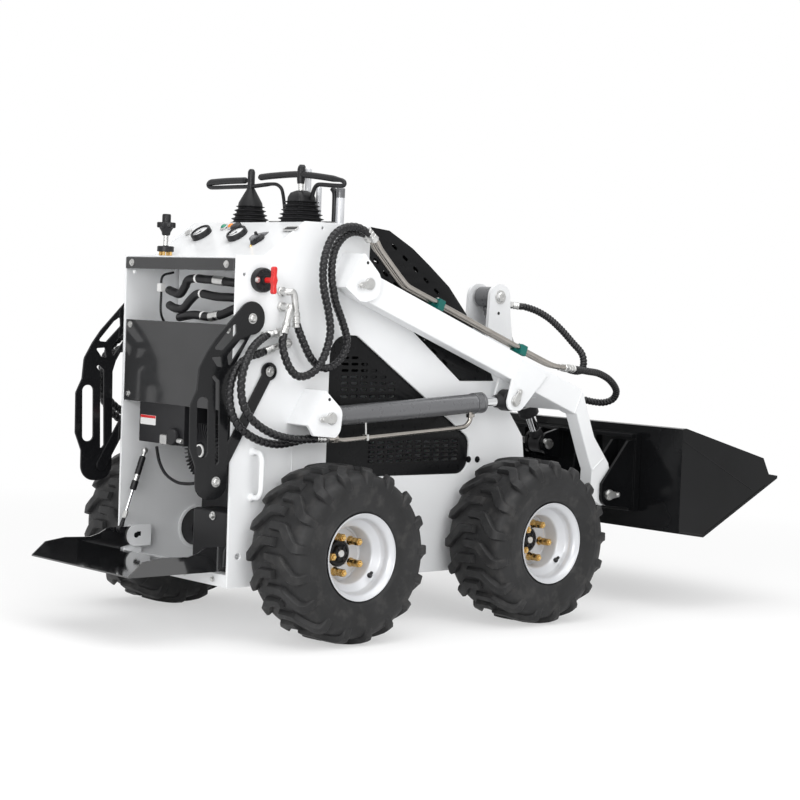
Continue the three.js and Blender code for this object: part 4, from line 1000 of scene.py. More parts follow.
STARTER = (-77.0, 499.0)
bell = turned([(505, 72), (566, 72), (578, 66), (584, 30), (592, 22), (598, 20), (600, 18), (600, 3)],
              (STARTER[0], 0, STARTER[1]), (0, 1, 0), 64)
make("starter_bell", joined(bell, fins(STARTER, 24, 76, 40, 560, 597)), "chassis", PLASTIC,
     smooth_normals=False)
badge = turned([(599, 19), (602, 18.4), (602, 14)], (STARTER[0], 0, STARTER[1]), (0, 1, 0), 40)
make("starter_badge", badge, "chassis", LABEL)
make("starter_cap", turned([(600, 14.5), (602.5, 14)], (STARTER[0], 0, STARTER[1]), (0, 1, 0), 40),
     "chassis", GLOSS)
eased("fuel_tank", PLASTIC, 9.0)
label = plate(rounded([(100, 557, 3), (176, 557, 3), (176, 584, 3), (100, 584, 3)]), 626.9, 627.6, edge=0.3,
              axes=ACROSS_Y)
make("tank_label", label, "chassis", LABEL)
make("tank_label_band", box_form(101, 175, 627.2, 628, 576, 583.5, 0.3), "chassis", RED)
cap = turned([(620, 22), (626, 25), (636, 25), (640, 22), (640, 8)], (6, 0, 532), (0, 1, 0), 9)
make("tank_knob", cap, "chassis", PLASTIC, smooth_normals=False)
make("tank_valve", joined(box_form(30, 62, 622, 638, 508, 536, 4),
                          rod((40, 630, 527), (-36, 630, 522), 7, 20)),
     "chassis", ZINC)
eased("battery_box", PLASTIC, 8.0)
make("battery_bolt", bolt((-150, 600, 327), (0, 1, 0), 8, 7), "chassis", ZINC)
cable = tube(curve([(131, 600, 494), (112, 604, 458), (88, 606, 432), (60, 606, 415), (24, 604, 404),
                    (-6, 602, 402), (-53, 596, 407), (-90, 585, 425)], 5), 4.5, 10)
make("starter_cable", cable, "chassis", SLEEVE)
WINDOW_HOSES = (
    ((110, 560, 930), (107, 590, 939), (75, 598, 934), (41, 600, 930), (18, 600, 950), (3, 600, 969),
     (-36, 600, 974),
     (-80, 598, 972), (-115, 596, 971), (-170, 580, 966), (-215, 540, 960)),
    ((104, 590, 897), (60, 600, 889), (23, 600, 890), (-8, 600, 912), (-39, 600, 930), (-70, 600, 932),
     (-120, 590, 926), (-180, 560, 924), (-225, 520, 914)),
    ((53, 590, 864), (20, 598, 868), (-26, 600, 873), (-60, 600, 872), (-105, 600, 870), (-150, 592, 878),
     (-190, 575, 896), (-222, 540, 905)),
)
runs = [tube(curve(np.array(p, float), 3), 12, 16) for p in WINDOW_HOSES]
make("window_hoses", joined(*runs), "chassis", SLEEVE, smooth_normals=False)
bands = [rod((x, y, z), (x - 9, y, z), 12.6) for x, y,
         z in ((-36, 600, 974), (-60, 600, 932.5), (-70, 600, 872))]
make("hose_bands", joined(*bands), "chassis", LABEL)
crimps = [rod((-115, 596, 971), (-152, 590, 968.5), 13.2), rod((-105, 600, 870), (-140, 594, 876), 13.2)]
make("hose_crimps", joined(*crimps), "chassis", ZINC)
lead = tube(curve([(133, 560, 990), (133, 598, 976), (130, 602, 925), (131, 600, 873), (134, 580, 840)],
                  4), 3.5, 10)
make("panel_lead", lead, "chassis", SLEEVE)
make("lead_connector", box_form(122, 141, 594, 609, 934, 958, 2.0), "chassis", LABEL)

bulkhead = box_form(-254, 254, 452, 456, 700, 1034, 1.0)
make("console_bulkhead", bulkhead, "chassis", WHITE)

HINGE_TAB = rounded([(540, 198, 2), (622, 198, 30), (622, 260, 30), (540, 260, 2)])
tab = plate(HINGE_TAB, -237, -231, edge=0.8)
make("platform_tabs", both(tab), "chassis", WHITE)
key = rod((-229.5, 592, 230), (-234, 592, 230), 8, 24)
make("platform_pivots", both(joined(key, box_form(-230.5, -230, 577, 590, 227, 240, 0.2))), "chassis",
     BLACK)

# %% Battery isolator
disc = turned([(267.3, 33), (272, 34), (284, 33.4), (288, 31), (288, 14), (294, 12.5), (295, 10)],
              (0, 555, 975),
              (-1, 0, 0), 48)
ribs = [rod((-289, 555 + 25 * math.cos(q), 975 + 25 * math.sin(q)), (-292, 555 + 25 * math.cos(q),
            975 + 25 * math.sin(q)), 2.4, 10) for q in np.arange(12) * TURN / 12]
make("isolator_body", joined(disc, *ribs), "chassis", PLASTIC, ("battery_isolator",))
key = joined(rod((-289, 555, 975), (-322, 555, 975), 7.5, 24, 2),
             plate(rounded([(548, 938, 6), (562, 938, 6), (560, 962, 4), (564, 975, 6), (560, 988, 4),
                            (562, 1012, 6),
                            (548, 1012, 6), (550, 988, 4), (546, 975, 6), (550, 962, 4)]), -334, -318,
                            edge=3))
make("isolator_key", key, "chassis", RED)
make("isolator_bolt", bolt((-287, 580, 975), (-1, 0, 0), 5.5, 4), "chassis", ZINC)
for end, _ in AXLES:
    eased(f"wheel_motors_{end}", CASTING, 2.0)
SEAT_RING = [(0, 57), (0, 66), (-2, 66), (-4, 62), (-4, 57)]
seats = [turned(SEAT_RING, (-254, y, 242.5), (-1, 0, 0), 64, ring=True) for _, y in AXLES]
make("motor_seats", both(joined(*seats)), "chassis", WHITE)
print("rear end and isolator")

# %% [markdown]
# ## Controls
# The console's sloping dash carries two gauges, a lamp button and a switch. On its top stand two
# drive levers on rubber bellows, the hydraulic lever bank and the filler post.

# %% Dash
DASH_NORMAL = np.array([0, 0.592, 0.806])


def bezel(x, y, z):
    """A raised ring round a dial, its lip rolled inward."""
    ring = [(-3, 31), (10, 31), (13, 29.5), (14, 27), (13, 25), (8, 24.4), (8, 3)]
    return turned(ring, (x, y, z), DASH_NORMAL, 48)


GAUGES = ((145, 458, 1104), (-31, 461, 1101))
make("gauge_bezels", joined(*[bezel(*g) for g in GAUGES]), "chassis", PLASTIC, smooth_normals=False)
SIDE_WAY = np.array([1.0, 0, 0])
UP_WAY = np.cross(SIDE_WAY, DASH_NORMAL)
dials, needles = [], []
for x, y, z in GAUGES:
    dials.append(turned([(8, 24), (9, 23.8)], (x, y, z), DASH_NORMAL, 40))
    top = np.array([x, y, z]) + DASH_NORMAL * 9.4
    for q in np.linspace(-2.2, 2.2, 12):
        ray = SIDE_WAY * math.sin(q) - UP_WAY * math.cos(q)
        needles.append(rod(top + ray * 18, top + ray * 22, 0.6, 6))
    ray = SIDE_WAY * 0.5 - UP_WAY * 0.86
    needles += [rod(top - ray * 4, top + ray * 17, 0.9, 6),
                turned([(9, 3), (10.6, 2.6)], (x, y, z), DASH_NORMAL, 16)]
make("gauge_dials", joined(*dials), "chassis", FACE)
make("gauge_needles", joined(*needles), "chassis", SLEEVE)
for name, coat, at in (("green", GREEN, (77, 429, 1125)), ("amber", AMBER, (48, 426, 1127))):
    dome = turned([(-1, 9), (4, 9), (7, 7), (8.4, 4), (8.8, 1.5)], at, DASH_NORMAL, 24)
    make(f"lamp_{name}", dome, "chassis", coat)
    make(f"lamp_{name}_collar", turned([(-1, 12), (2.4, 12), (3.4, 10.8), (3.4, 9)], at, DASH_NORMAL, 24),
         "chassis", ZINC)
switch = turned([(-1, 17), (5, 17), (7, 15), (9, 13), (9, 5)], (-153, 478, 1089), DASH_NORMAL, 36)
toggle = joined(turned([(-1, 8), (4, 8), (6, 6)], (219, 455, 1106), DASH_NORMAL, 6),
                rod((214, 459, 1112), (196, 458, 1115), 3.4, 12))
make("dash_toggle", toggle, "chassis", ZINC)
keyway = rod((-153, 483, 1096), (-153, 492, 1108), 4.5, 8)
make("dash_switch", joined(switch, keyway), "chassis", PLASTIC)
DASH_AXES = np.array([[1, 0, 0], [0, -0.806, 0.592], DASH_NORMAL])
slot_frame = plate(slot_hole(0, 0, 62, 20, 0, 8), -1, 2.5, [slot_hole(0, 0, 54, 12, 0, 8)], 0.6, DASH_AXES,
                   (-243, 438, 1119))
slot_floor = plate(slot_hole(0, 0, 56, 13, 0, 8), -1, 0.8, edge=0.3, axes=DASH_AXES,
                   origin=(-243, 438, 1119))
make("dash_slot", slot_frame, "chassis", ZINC)
make("dash_slot_floor", slot_floor, "chassis", SLEEVE)
make("dash_horn", turned([(-1, 17), (8, 17), (11, 14), (12, 9)], (8, 436, 1122), DASH_NORMAL, 36),
     "chassis", PLASTIC)
top_lever = curve([(-150, 506, 1087), (-150, 488, 1094), (-150, 462, 1101), (-150, 428, 1107)], 3)
lever_r = np.interp(np.linspace(0, 1, len(top_lever)), [0, 0.15, 0.6, 0.95, 1], [5, 8.5, 7, 6.5, 4])
make("brake_lever", tube(top_lever, lever_r, 18), "chassis", GUNMETAL)
arch = curve([(-150, 474, 1092), (-150, 452, 1091), (-150, 436, 1083), (-150, 434, 1070), (-150, 446, 1060),
              (-150, 456, 1050)], 3)
make("brake_grip", joined(tube(arch, np.linspace(8, 6.5, len(arch)), 16),
                          box_form(-160, -140, 474, 498, 1052, 1090, 3),
     rod((-162, 486, 1078), (-138, 486, 1078), 7, 20)), "chassis", PLASTIC)
make("brake_spring", rod((-150, 503, 1052), (-150, 503, 1072), 3.2, 12), "chassis", BRASS)

# %% Drive levers
LEVER_Y = 345.0
PANEL_Z = 1140.3


def bellows(x, foot, tip, z0, z1, ridges, square=2.0):
    """Rubber folds: the radius falls from foot to tip while thin lips stand out, one a fold."""
    k = np.linspace(0, 1, ridges * 10 + 1)
    lip = np.abs(np.cos(math.pi * ridges * k)) ** 3
    r = foot + (tip - foot) * k + 9 * (lip - 1)
    return turned(np.column_stack([z0 + (z1 - z0) * k, r]), (x, LEVER_Y, 0), (0, 0, 1), 44, square=square)


cone = turned([(1186, 30), (1190, 36), (1200, 34), (1216, 25), (1230, 17), (1241, 11)], (68, LEVER_Y, 0),
              (0, 0, 1), 44)
make("drive_lever_left_boot", joined(bellows(68, 58, 42, PANEL_Z, 1189, 4), cone), "chassis", SLEEVE,
     ("drive_lever_left",), smooth_normals=False)
grip = [(1238, 9), (1243, 10.5), (1288, 10.5), (1294, 8.4), (1297, 5)]
left_loop = [(90, 345, 1265), (180, 345, 1265), (255, 345, 1263), (270, 345, 1261), (276, 345, 1255),
             (268, 345, 1249),
             (250, 345, 1247), (160, 345, 1247), (68, 345, 1247), (10, 345, 1250), (-30, 345, 1252),
             (-50, 342, 1250),
             (-62, 336, 1240), (-64, 330, 1222), (-62, 322, 1190), (-60, 316, 1160), (-60, 314, 1144)]
path = curve(left_loop, 3)
share = np.linspace(0, 1, len(path))
bar_r = np.interp(share, [0, 0.01, 0.27, 0.32, 0.75, 0.78, 1], [6, 9.5, 9.5, 6, 6, 5, 5])
make("drive_lever_left_bar", joined(turned(grip, (68, LEVER_Y, 0), (0, 0, 1), 24), tube(path, bar_r, 16)),
     "chassis",
     PLASTIC)

cap = [(1196, 30), (1200, 34), (1212, 33), (1224, 27), (1229, 17), (1231, 12)]
right_boot = joined(bellows(-168, 56, 40, PANEL_Z, 1200, 5, square=5.0),
                    turned(cap, (-168, LEVER_Y, 0), (0, 0, 1), 44, square=4.0))
make("drive_lever_right_boot", right_boot, "chassis", SLEEVE, ("drive_lever_right",), smooth_normals=False)
make("drive_lever_right_stick", rod((-164, 345, 1226), (-162, 345, 1258), 7.5, 20), "chassis", ZINC)
right_loop = [(29, 345, 1272), (-30, 345, 1275), (-115, 345, 1277), (-162, 345, 1276), (-230, 345, 1270),
              (-320, 345, 1259), (-346, 345, 1254), (-353, 345, 1247), (-345, 345, 1241), (-310, 345, 1242),
              (-250, 345, 1246), (-232, 345, 1243), (-218, 343, 1230), (-204, 338, 1208)]
path = curve(right_loop, 3)
share = np.linspace(0, 1, len(path))
bar_r = np.interp(share, [0, 0.012, 0.6, 0.65, 1], [6, 9.5, 9, 6.2, 6])
make("drive_lever_right_bar", joined(tube(path, bar_r, 16),
                                     turned([(1250, 10), (1262, 11.5), (1290, 11), (1298, 9),
     (1301, 5)], (-162, LEVER_Y, 0), (0, 0, 1), 24)), "chassis", PLASTIC)

# %% Lever bank and filler post
base = joined(box_form(-228, -30, 258, 290, PANEL_Z, 1148.3, 1.5),
              box_form(-80, -2, 258, 330, PANEL_Z, 1148.3, 1.5))
make("lever_bank_base", base, "chassis", ZINC, ("lever_bank",))
levers = [
    (joined(turned([(1148, 7), (1280, 7), (1284, 10), (1303, 10.5), (1308, 7)], (-108, 300, 0), (0, 0, 1),
                   24),
            tube(curve([(-231, 276, 1148), (-231, 276, 1200), (-229, 276, 1228), (-220, 277, 1240)], 3), 8,
                 16)), PLASTIC),
    (joined(rod((-126, 290, 1148), (-126, 290, 1298), 9, 24, 3),
            rod((-176, 290, 1148), (-176, 290, 1246), 8, 24, 3),
            rod((-252, 274, 1141), (-252, 274, 1238), 12, 28, 2)), SILVER),
    (turned([(1214, 12.6), (1239, 12.6), (1241, 11)], (-252, 274, 0), (0, 0, 1), 28), GUNMETAL),
]
for k, (form, coat) in enumerate(levers):
    make(f"bank_lever_{k}", form, "chassis", coat)
POST = (165, 568, 0)
flange = [(1048, 22), (1049, 24), (1062, 24), (1064, 22), (1064, 9), (1066, 8)]
cap = [(1130, 9), (1132, 12.5), (1151, 12.5), (1155, 11), (1155.5, 7)]
neck = [(1094, 9), (1096, 11.5), (1104, 13), (1114, 19), (1120, 22)]
star_angle = (np.arange(48) + 0.5) * TURN / 48
star_r = 23.5 + 3.2 * np.cos(6 * star_angle)
outline = np.stack([165 + star_r * np.cos(star_angle), 568 + star_r * np.sin(star_angle)], 1)
star = plate(outline, 1116, 1132, edge=3, axes=ACROSS_Z)
make("filler_post_body", joined(turned(flange, POST, (0, 0, 1), 36), star,
                                turned(neck, POST, (0, 0, 1), 36),
     turned(cap, POST, (0, 0, 1), 36)), "chassis", PLASTIC, ("filler_post",), smooth_normals=False)
make("filler_post_stem", rod((165, 568, 1060), (165, 568, 1100), 7, 24), "chassis", ZINC)
foot = [rod((165 + 15 * math.cos(q), 568 + 15 * math.sin(q), 1037),
            (165 + 15 * math.cos(q), 568 + 15 * math.sin(q),
        1049), 4.5, 6) for q in (0.6, 2.2, 3.8, 5.3)]
make("filler_post_unions", joined(*foot), "chassis", BRASS)
print("controls made")

# %% [markdown]
# ## Lift arm
# Each arm is a folded box section. Lugs welded to its faces hold the lift cylinder, and a cross
# member with a two-ear tower ties the arms together.

# %% Arms
ARM_OUTLINE = rounded([
    (291, 1003, 38), (291, 946, 38), (255, 934), (-612, 611), (-624, 608), (-679, 482), (-703, 433),
    (-700, 366),
    (-722, 336), (-752, 322), (-810, 322, 34), (-810, 372), (-786, 428), (-778, 455), (-709, 537),
    (-695, 568),
    (-647, 684, 8), (195, 998), (255, 1019),
])
LUG_OUTLINE = rounded([(-332, 712), (-315, 649), (-320, 621, 24), (-370, 621, 22), (-384, 632),
                       (-482, 728), (-366, 772)])
for name, side in SIDES:
    beam = plate(ARM_OUTLINE, -343, -293, [circle(-770, 356, 17)], 4.0)
    lugs = [plate(LUG_OUTLINE, x, x + 8, edge=1.6) for x in (-351.2, -292.9)]
    boss = [turned([(270.5, 29), (272, 30.5), (294, 30.5)], (0, 250, 977), (-1, 0, 0), 40),
            turned([(342, 30.5), (350.5, 30.5), (351.5, 29)], (0, 250, 977), (-1, 0, 0), 40)]
    seams = [curve([(-343.5, -612, 611), (-343.5, -646, 682)], 3),
             curve([(-343.4, -703, 433), (-343.4, -752, 470)], 3),
             curve([(-351, -332, 712), (-349, -366, 770), (-345, -372, 773)], 3)]
    seams = [tube(s, 1.5, 8) for s in seams]
    make(f"arm_{name}_beam", flipped(joined(beam, *lugs, *boss, *seams), side), "lift_arm", WHITE,
         (f"arm_{name}",))
    make(f"arm_pins_{name}", flipped(keeper(-351, -346, 651, 1.98), side), "lift_arm", ZINC)
eased("arm_cross_member", WHITE, 1.8)
tower = joined(turned([(0, 22), (2, 22), (3, 20)], (-54, -558, 959), (-1, 0, 0), 40),
               turned([(3, 15), (8, 15), (10, 13), (10, 6), (8, 5)], (-54, -558, 959), (-1, 0, 0), 40))
make("tower_pins", both(tower), "lift_arm", ZINC)
# A thin black disc on each tower ear is painted shade standing in for a small hole's dark inside.
hole_shade_discs = both(turned([(0, 5), (0.7, 5)], (-54, -553, 908), (-1, 0, 0), 20))
make("tower_holes", hole_shade_discs, "lift_arm", SLEEVE)
weld = both(tube(curve([(-54.2, -505, 740), (-54.2, -540, 752), (-54.2, -580, 748), (-54.2, -604, 730)],
                       3), 1.6, 8))
make("tower_welds", weld, "lift_arm", WHITE)

# %% Steel lines and clamps
LINE_ROUTE = [(200, 1107), (184, 1096), (166, 1072), (75, 986), (40, 968), (-61, 931), (-404, 805),
              (-522, 763),
              (-560, 754), (-606, 749)]
runs, nuts, blocks, straps, screws = [], [], [], [], []
for x in (-312.5, -287.5):
    path = curve([(x, y, z) for y, z in LINE_ROUTE], 4, 0.35)
    runs.append(tube(path, 7, 16))
    for at, beyond in ((path[0], path[3]), (path[-1], path[-4])):
        nuts.append(turned([(-4, 9.5), (-3, 11.5), (12, 11.5), (14, 9.5)], at, beyond - at, 6))
CLAMP_TILT = math.atan2(-126, -343)
for y, z in ((-61, 931), (-404, 805)):
    c, s = -math.cos(CLAMP_TILT), -math.sin(CLAMP_TILT)
    for group, (x0, x1, w, low, high, e) in ((blocks, (-324, -276, 12, -20, 12, 2.5)),
                                             (straps, (-316, -284, 8, 11, 13.5, 1))):
        points, faces = box_form(x0, x1, -w, w, low, high, e)
        px, py, pz = points.T
        group.append((np.stack([px, y + c * py - s * pz, z + s * py + c * pz], 1), faces))
    screws.append(bolt((-300, y - s * 13, z + c * 13), (0, -s, c), 5, 4, False))
make("arm_lines_pipes", joined(*runs), "lift_arm", PIPE, ("arm_lines",), smooth_normals=False)
make("arm_line_nuts", joined(*nuts), "lift_arm", ZINC)
make("arm_clamps", joined(*blocks), "lift_arm", TEAL)
make("arm_clamp_plates", joined(*straps, *screws), "lift_arm", ZINC)
print("lift arm with its lines")

# %% [markdown]
# ## Cylinders
# Honed barrels painted gunmetal with a threaded gland, hard chrome rods, and a steel line that
# feeds the rod end. Each is drawn lying along its own axis and then laid between its pins.

# %% Cylinder parts
PIN_A, PIN_K = (368, 606), (-346, 651)
PIN_T, PIN_Q = (-558, 959), (-815, 490)


def laid(form, x, start, end):
    """(x, s, d) becomes (x0 + x, y0 + s cos q - d sin q, z0 + s sin q + d cos q)."""
    q = math.atan2(end[1] - start[1], end[0] - start[0])
    px, s, d = form[0].T
    c, n = math.cos(q), math.sin(q)
    return np.stack([x + px, start[0] + c * s - n * d, start[1] + n * s + c * d], 1), form[1]


def eye(at, radius, half, hole=16.6):
    """A ring about x with broken edges."""
    ring = [(-half, hole), (-half, radius - 3), (-half + 3, radius), (half - 3, radius),
            (half, radius - 3), (half, hole)]
    return turned(ring, (0, at, 0), (1, 0, 0), 48, ring=True)


def barrel_form(r, long, eye_r, eye_half):
    """Base weld, tube, and the two weld beads at its ends."""
    tube_profile = [(eye_r - 8, r - 5), (eye_r - 2, r - 1), (eye_r + 4, r + 1.5), (eye_r + 8, r),
                    (long - 40, r),
                    (long - 38, r + 1.2), (long - 36, r)]
    return joined(eye(0, eye_r, eye_half), turned(tube_profile, (0, 0, 0), (0, 1, 0), 56))


def gland(r, rod_r, long):
    """The screwed-in head: knurled collar, groove and wiper seal."""
    profile = [(long - 37, r), (long - 36, r + 3), (long - 16, r + 3), (long - 15, r + 1.4),
               (long - 12, r + 1.4),
               (long - 11, r + 3), (long - 3, r + 3), (long, r), (long, rod_r + 3), (long - 1.5, rod_r + 1)]
    return turned(profile, (0, 0, 0), (0, 1, 0), 56)


LIFT_LONG = math.dist(PIN_A, PIN_K)
for name, side in SIDES:
    body = f"lift_barrel_{name}"
    x = side * 318
    form = laid(barrel_form(28, 610, 30, 24), x, PIN_A, PIN_K)
    make(f"{body}_tube", form, body, GUNMETAL, (body,), smooth_normals=False)
    make(f"{body}_gland", laid(gland(28, 15, 610), x, PIN_A, PIN_K), body, GUNMETAL, smooth_normals=False)
    outer, inner = side * 12, side * -12
    line = [(outer, 40, 62), (outer, 80, 66), (outer, 300, 66), (outer, 506, 66), (outer, 537, 60),
            (outer, 550, 46),
            (outer, 552, 24)]
    steel = joined(tube(curve(line, 4, 0.35), 7, 16), rod((outer, 0, 58), (outer, 46, 62), 9.6, 20),
                   rod((inner, 0, 58), (inner, 46, 62), 9.6, 20),
                   rod((inner, 38, 24), (inner, 38, 60), 8, 20),
                   turned([(30, 9), (31, 12), (44, 12), (45, 9)], (outer, 0, 61), (0, 1, 0), 6),
                   turned([(30, 9), (31, 12), (44, 12), (45, 9)], (inner, 0, 61), (0, 1, 0), 6),
                   turned([(28, 10), (29, 13), (38, 13), (39, 10)], (outer, 552, 0), (0, 0, 1), 6))
    make(f"{body}_line", laid(steel, x, PIN_A, PIN_K), body, PIPE, smooth_normals=False)
    hold = joined(rod((outer, 150, 24), (outer, 150, 66), 3, 12),
                  box_form(outer - 9, outer + 9, 146, 154, 57, 75, 1.5))
    make(f"{body}_clip", laid(hold, x, PIN_A, PIN_K), body, ZINC)
    bar = rod((0, 120, 0), (0, LIFT_LONG - 34, 0), 15, 40)
    make(f"lift_rod_{name}_bar", laid(bar, x, PIN_A, PIN_K), f"lift_rod_{name}", CHROME)
    head = joined(eye(LIFT_LONG, 32, 20),
                  turned([(-12, 18), (0, 20), (6, 22), (10, 18)], (0, LIFT_LONG - 40, 0), (0, 1, 0), 40))
    make(f"lift_rod_{name}_eye", laid(head, x, PIN_A, PIN_K), f"lift_rod_{name}", CASTING,
         (f"lift_rod_{name}",))

TILT_LONG = math.dist(PIN_T, PIN_Q)
make("tilt_barrel_tube", laid(barrel_form(30, 430, 32, 34), 0, PIN_T, PIN_Q), "tilt_barrel", GUNMETAL,
     ("tilt_barrel",),
     smooth_normals=False)
make("tilt_barrel_gland", laid(gland(30, 17, 430), 0, PIN_T, PIN_Q), "tilt_barrel", CASTING,
     smooth_normals=False)
make("tilt_barrel_ring", laid(turned([(388, 30.6), (389, 31.2), (392, 31.2), (393, 30.6)], (0, 0, 0),
                                     (0, 1, 0), 56),
     0, PIN_T, PIN_Q), "tilt_barrel", ZINC)
ports = joined(rod((0, 34, -24), (-30, 60, -60), 9.4, 20), rod((-20, 384, -10), (-44, 384, -22), 9.4, 20))
make("tilt_barrel_ports", laid(ports, 0, PIN_T, PIN_Q), "tilt_barrel", ZINC)
make("tilt_rod_bar", laid(rod((0, 100, 0), (0, TILT_LONG - 32, 0), 17, 44), 0, PIN_T, PIN_Q), "tilt_rod",
     CHROME)
head = joined(eye(TILT_LONG, 30, 25), turned([(-12, 20), (2, 22), (8, 22)], (0, TILT_LONG - 38, 0),
                                             (0, 1, 0), 40))
make("tilt_rod_eye", laid(head, 0, PIN_T, PIN_Q), "tilt_rod", CASTING, ("tilt_rod",))

SPRING_TOP, SPRING_FOOT, SPRING_X = (576, 475), (651, 250), 225
SPRING_LONG = math.dist(SPRING_TOP, SPRING_FOOT)
barrel = joined(turned([(16, 5), (20, 9), (72, 9), (73, 8.6), (91, 8.6), (92, 9.8), (116, 9.8), (118, 8),
                        (119, 5.4)],
                       (0, 0, 0), (0, 1, 0), 28))
ball = turned([(-9, 3), (-7, 7), (-3, 9.5), (3, 9.5), (8, 6.5), (18, 5.5)], (0, 0, 0), (0, 1, 0), 24)
make("spring_ball", laid(ball, SPRING_X, SPRING_TOP, SPRING_FOOT), "spring_barrel", ZINC)
make("spring_barrel_tube", laid(barrel, SPRING_X, SPRING_TOP, SPRING_FOOT), "spring_barrel", PLASTIC,
     ("spring_barrel",))
wrap = turned([(72.5, 8.7), (73, 9.3), (91, 9.3), (91.5, 8.7)], (0, 0, 0), (0, 1, 0), 28)
make("spring_collar", laid(wrap, SPRING_X, SPRING_TOP, SPRING_FOOT), "spring_barrel", ZINC)
bar = rod((0, 90, 0), (0, SPRING_LONG - 16, 0), 4, 20)
make("spring_rod_bar", laid(bar, SPRING_X, SPRING_TOP, SPRING_FOOT), "spring_rod", CHROME)
end = joined(turned([(-9, 9.4), (-7, 10), (7, 10), (9, 9.4)], (0, SPRING_LONG, 0), (1, 0, 0), 24),
             turned([(-34, 5), (-6, 7), (-4, 5)], (0, SPRING_LONG, 0), (0, 1, 0), 20))
fork = turned([(-56, 4.4), (-54.5, 7.5), (-38, 7.5), (-36, 6), (-32, 5)], (0, SPRING_LONG, 0), (0, 1, 0), 6)
make("spring_rod_nut", laid(fork, SPRING_X, SPRING_TOP, SPRING_FOOT), "spring_rod", ZINC)
make("spring_rod_end", laid(end, SPRING_X, SPRING_TOP, SPRING_FOOT), "spring_rod", PLASTIC, ("spring_rod",))
print("cylinders laid between their pins")

# %% [markdown]
# ## Bucket, attachment frame and platform
# The bucket is bent and welded sheet with a thick cutting edge; the frame behind it takes the pins.
# The platform is a shallow tray on two tabs, held by the gas spring.

# %% Bucket
eased("bucket", BUCKET, 1.6)
eased("attachment_frame", BUCKET, 2.0)
EDGE = rounded([(-1261, 354), (-1385.5, 414.2), (-1390.5, 405.4), (-1264.5, 343)])
make("cutting_edge", plate(EDGE, -528, 528, edge=1.5), "bucket", GUNMETAL)
crease = [tube(curve([(-530.3, -907, 537), (-530.3, -1256, 373)], 6), 1.3, 8),
          rod((-530.2, -909, 253), (-530.2, -1018, 239), 1.6, 8),
          rod((-530.2, -1034, 242), (-530.2, -1326, 384), 1.6, 8)]
make("bucket_seams", both(joined(*crease)), "bucket", BUCKET)
gussets = [plate([(-880.5, 300), (-880.5, 545), (-866, 545), (-854, 420), (-866, 300)], x - 5, x + 5,
                 edge=1.4)
           for x in (-200, -120, 120, 200)]
rail = [box_form(-360, 360, -881, -862, z, z + 12, 2) for z in (533, 302)]
make("frame_gussets", joined(*gussets, *rail), "bucket", BUCKET)
ends = [keeper(-356, -770, 356, 3.14, reach=34), keeper(-42, -815, 490, 0.4, reach=26)]
make("frame_pins", both(joined(*ends)), "bucket", ZINC)

# %% Platform
eased("platform_deck", DECK, 1.6)
make("sill_screws", joined(*[bolt((x, 632, 161), (0, 1, 0), 5.5, 4) for x in (-200, -70, 70, 200)]),
     "chassis", ZINC)
print("bucket and platform")

# %% [markdown]
# ## Floor and light
# A pale floor under soft studio light. The floor keeps the machine's shadow, and the camera and
# the reflections see a plain white room.

# %% Stage
floor_mesh = bpy.data.meshes.new("floor")
floor_mesh.from_pydata([(-30, -30, 0), (30, -30, 0), (30, 30, 0), (-30, 30, 0)], [], [(0, 1, 2, 3)])
floor = bpy.data.objects.new("floor", floor_mesh)
bpy.context.scene.collection.objects.link(floor)
floor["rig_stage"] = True


def lit_room(node_tree, surface, white, share):
    """Adds plain white to what camera and glossy rays see: surface (1 - share) + white share.

    The share is a number, or a socket that says it from place to place."""
    rays = node_tree.nodes.new("ShaderNodeLightPath")
    dimmed = node_tree.nodes.new("ShaderNodeMath")
    dimmed.operation = "MULTIPLY"
    dimmed.inputs[1].default_value = 0.6
    node_tree.links.new(rays.outputs["Is Glossy Ray"], dimmed.inputs[0])
    seen = node_tree.nodes.new("ShaderNodeMath")
    seen.operation = "MAXIMUM"
    node_tree.links.new(rays.outputs["Is Camera Ray"], seen.inputs[0])
    node_tree.links.new(dimmed.outputs[0], seen.inputs[1])
    part = node_tree.nodes.new("ShaderNodeMath")
    part.operation = "MULTIPLY"
    if isinstance(share, bpy.types.NodeSocket):
        node_tree.links.new(share, part.inputs[1])
    else:
        part.inputs[1].default_value = share
    node_tree.links.new(seen.outputs[0], part.inputs[0])
    mix = node_tree.nodes.new("ShaderNodeMixShader")
    node_tree.links.new(part.outputs[0], mix.inputs[0])
    node_tree.links.new(surface, mix.inputs[1])
    node_tree.links.new(white, mix.inputs[2])
    return mix.outputs[0]


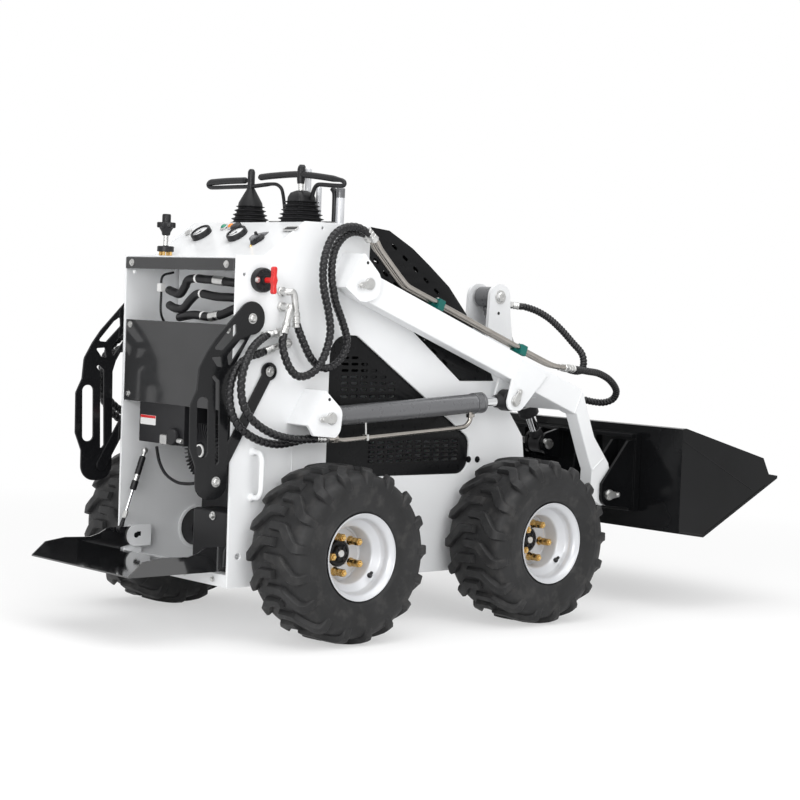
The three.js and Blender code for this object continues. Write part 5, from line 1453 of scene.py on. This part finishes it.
paper = bpy.data.materials.new("floor_paper")
paper.use_nodes = True
tree = paper.node_tree
tree.nodes.clear()
diffuse = tree.nodes.new("ShaderNodeBsdfDiffuse")
diffuse.inputs["Color"].default_value = (0.92, 0.92, 0.92, 1)
glow = tree.nodes.new("ShaderNodeEmission")
out = tree.nodes.new("ShaderNodeOutputMaterial")
place = tree.nodes.new("ShaderNodeTexCoord")
away = tree.nodes.new("ShaderNodeVectorMath")
away.operation = "LENGTH"
tree.links.new(place.outputs["Object"], away.inputs[0])
whiter = ranged(tree, away.outputs["Value"], 0.5, 1.0, 1.3, 3.6)
tree.links.new(lit_room(tree, diffuse.outputs[0], glow.outputs[0], whiter), out.inputs[0])
floor_mesh.materials.append(paper)

world = bpy.data.worlds.new("studio")
bpy.context.scene.world = world
world.use_nodes = True
tree = world.node_tree
tree.nodes.clear()
dim = tree.nodes.new("ShaderNodeBackground")
dim.inputs["Strength"].default_value = 0.58
bright = tree.nodes.new("ShaderNodeBackground")
for sky in (dim, bright):
    sky.inputs["Color"].default_value = (1, 1, 1, 1)
out = tree.nodes.new("ShaderNodeOutputWorld")
tree.links.new(lit_room(tree, dim.outputs[0], bright.outputs[0], 1.0), out.inputs[0])


def softbox(name, at, size, watts):
    """A square lamp that faces the machine's middle."""
    lamp = bpy.data.lights.new(name, "AREA")
    lamp.shape = "RECTANGLE"
    lamp.size, lamp.size_y = size
    lamp.energy = watts
    holder = bpy.data.objects.new(name, lamp)
    bpy.context.scene.collection.objects.link(holder)
    holder.location = at
    holder.rotation_mode = "QUATERNION"
    holder.rotation_quaternion = (Vector((0, 0, 0.6)) - Vector(at)).to_track_quat("-Z", "Y")
    return holder


softbox("overhead", (-0.6, 0.6, 5.0), (5.0, 5.0), 150)
softbox("key", (-4.5, 1.0, 3.2), (3.0, 3.0), 70)
softbox("rear_fill", (-2.6, 4.8, 1.7), (3.0, 2.2), 110)
print("lamps placed")

# %% Sizes
low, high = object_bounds()
print("visual box", [round(v, 3) for v in (*low, *high)])
